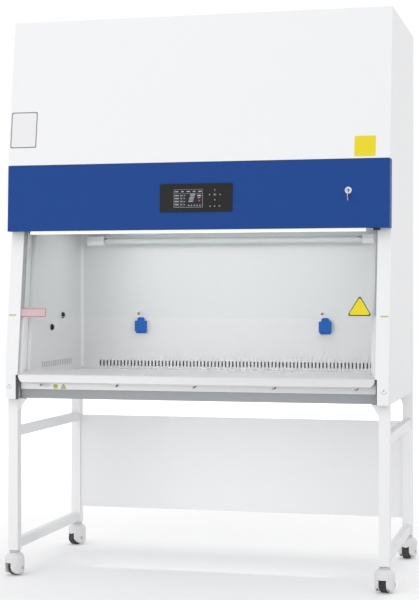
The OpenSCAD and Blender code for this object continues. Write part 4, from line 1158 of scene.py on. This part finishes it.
def wire_ring(radius, wire, around=48, section=10):
    """A torus: the wire's small circle carried round a larger one; both angles run a full turn."""
    a, b = np.meshgrid(full_turn(around), full_turn(section), indexing="ij")
    reach = radius + wire * np.cos(b)
    points = np.stack([reach * np.cos(a), reach * np.sin(a), wire * np.sin(b)], axis=-1)
    rows = np.concatenate([points, points[:1]])
    return rows.reshape(-1, 3), grid_faces(around + 1, section)


through_hole = on_plane(hole - FASCIA_UP * RING_DROP, BACK, UP)
on_plug = on_plane(LOCK_PLACE + FASCIA_NORMAL * PLUG_FACE, ACROSS, FASCIA_UP)
add_piece("lock_key_ring", placed(wire_ring(RING_RADIUS, WIRE), through_hole),
          BRIGHT, "lock_key")
# The black ring is painted shade of the gap round the plug.
add_piece("lock_keyway", placed(full_ring(2.2, 5.9), on_plug), SEAL, "lock_key")
print("lathe work done")

# %% [markdown]
# ## Small joints in the sheet metal
# Folded sheet never meets in a plain line. The liner's upright corners carry a narrow coved strip,
# so that they wipe clean; where the armrest's brackets hook into the sill, slanted dark marks are
# painted shade; and the tongue that closes the foot of each column shows as a thin curved line
# round its screw.

# %% Coved strips in the liner's corners
COVE = 10 * MM
STRIP_BELOW, STRIP_SHORT, STRIP_STEPS = 12 * MM, 4 * MM, 12
arc = circle(np.radians(np.linspace(90, 0, 7)))
cove_section = np.concatenate([[(0, 0)], COVE * (1 - arc)])
corner_x = -box("liner_left")[HI][X]
z = np.linspace(box("work_tray")[HI][Z] - STRIP_BELOW, liner[HI][Z] - STRIP_SHORT, STRIP_STEPS)
for side, sign in SIDES:
    path = np.array([(sign * corner_x, BACK_WALL_Y, height) for height in z])
    strip = drawn(cove_section * [-sign, -1], path, ACROSS)
    add_piece(f"corner_strip_{side}", strip, WHITE)
print("corner strips")

# %% Painted shade where the brackets hook in, and foot tongues
BRACKET_STEP, SLOT_ASIDE, SLOT_Z = 0.311, 10 * MM, 0.756
HOOK_SHADE = np.array([(-8.5, -7.5), (-3.5, -7.5), (8.5, 7.5), (3.5, 7.5)]) * MM
onto_sill, sill_at = sill_plane
slots = [shifted(cut_plate(HOOK_SHADE, 0.1 * MM), *sill_at(BRACKET_STEP * k + SLOT_ASIDE, SLOT_Z))
         for k in range(-2, 3)]
# Slanted dark marks in the sill: painted shade where the brackets hook in.
add_piece("hook_shades", placed(joined(slots), onto_sill), SHADE_BLACK)
tongue = open_ring(11.6, 12.9, start=205, sweep=130)
for side, sign in SIDES:
    on_foot = on_plane((sign * FOOT_X, column[LO][Y], FOOT_Z), ACROSS, UP)
    add_piece(f"foot_tongue_{side}", placed(tongue, on_foot), SIGN_GREY)
print(len(slots), "hook slots and two foot tongues")

# %% [markdown]
# ### Painted shade beside the sill, behind the slots and on the glass
# A grey plate beside the sill at each column's foot is painted shade. Black sheets in the ducts
# behind the side slots are painted shade, so that they look deep. A grey strip on the glass beside
# each column, from the height mark up, is painted shade and painted reflection.

# %% Painted shade beside the sill, behind the slots and on the glass
FOOT_SHADE_PLACE = (0.707, -0.3925, 0.742)
DUCT_SHADE_PLACE = (0.680, -0.012, 0.8215)
SHADE_STRIP_X, SHADE_STRIP_Z, SHADE_STRIP_SIZE = 0.699, 1.24, (14 * MM, 430 * MM)
shade_plate = cut_plate(rounded_outline(30 * MM, 94 * MM, 4 * MM), 1.2 * MM, 0.3 * MM)
shade_sheet = cut_plate(rounded_outline(400 * MM, 56 * MM, 2 * MM), 1 * MM)
for side, sign in SIDES:
    mirror = np.array([sign, 1, 1])
    beside = on_plane(FOOT_SHADE_PLACE * mirror, sign * FRONT, UP)
    behind = on_plane(DUCT_SHADE_PLACE * mirror, sign * FRONT, UP)
    # A grey plate at each column's foot beside the sill: painted shade.
    add_piece(f"foot_shade_plate_{side}", placed(shade_plate, beside), SHADE_GREY)
    # Black sheets behind the side slots: painted shade, so that the ducts look deep.
    add_piece(f"duct_shade_sheet_{side}", placed(shade_sheet, behind), SHADE_BLACK)
    # A grey strip on the glass beside each column, from the height mark up: painted shade and
    # painted reflection.
    layered_plate(f"glass_edge_{side}", glass_plane, (sign * SHADE_STRIP_X, SHADE_STRIP_Z),
                  [(*SHADE_STRIP_SIZE, GLASS_SHADE_GREY)], "sash")
print("gaskets, felt and glass edges")

# %% [markdown]
# ## Finish

# %% Finish
print(len(PIECES), "pieces added to", len(NODES), "nodes")
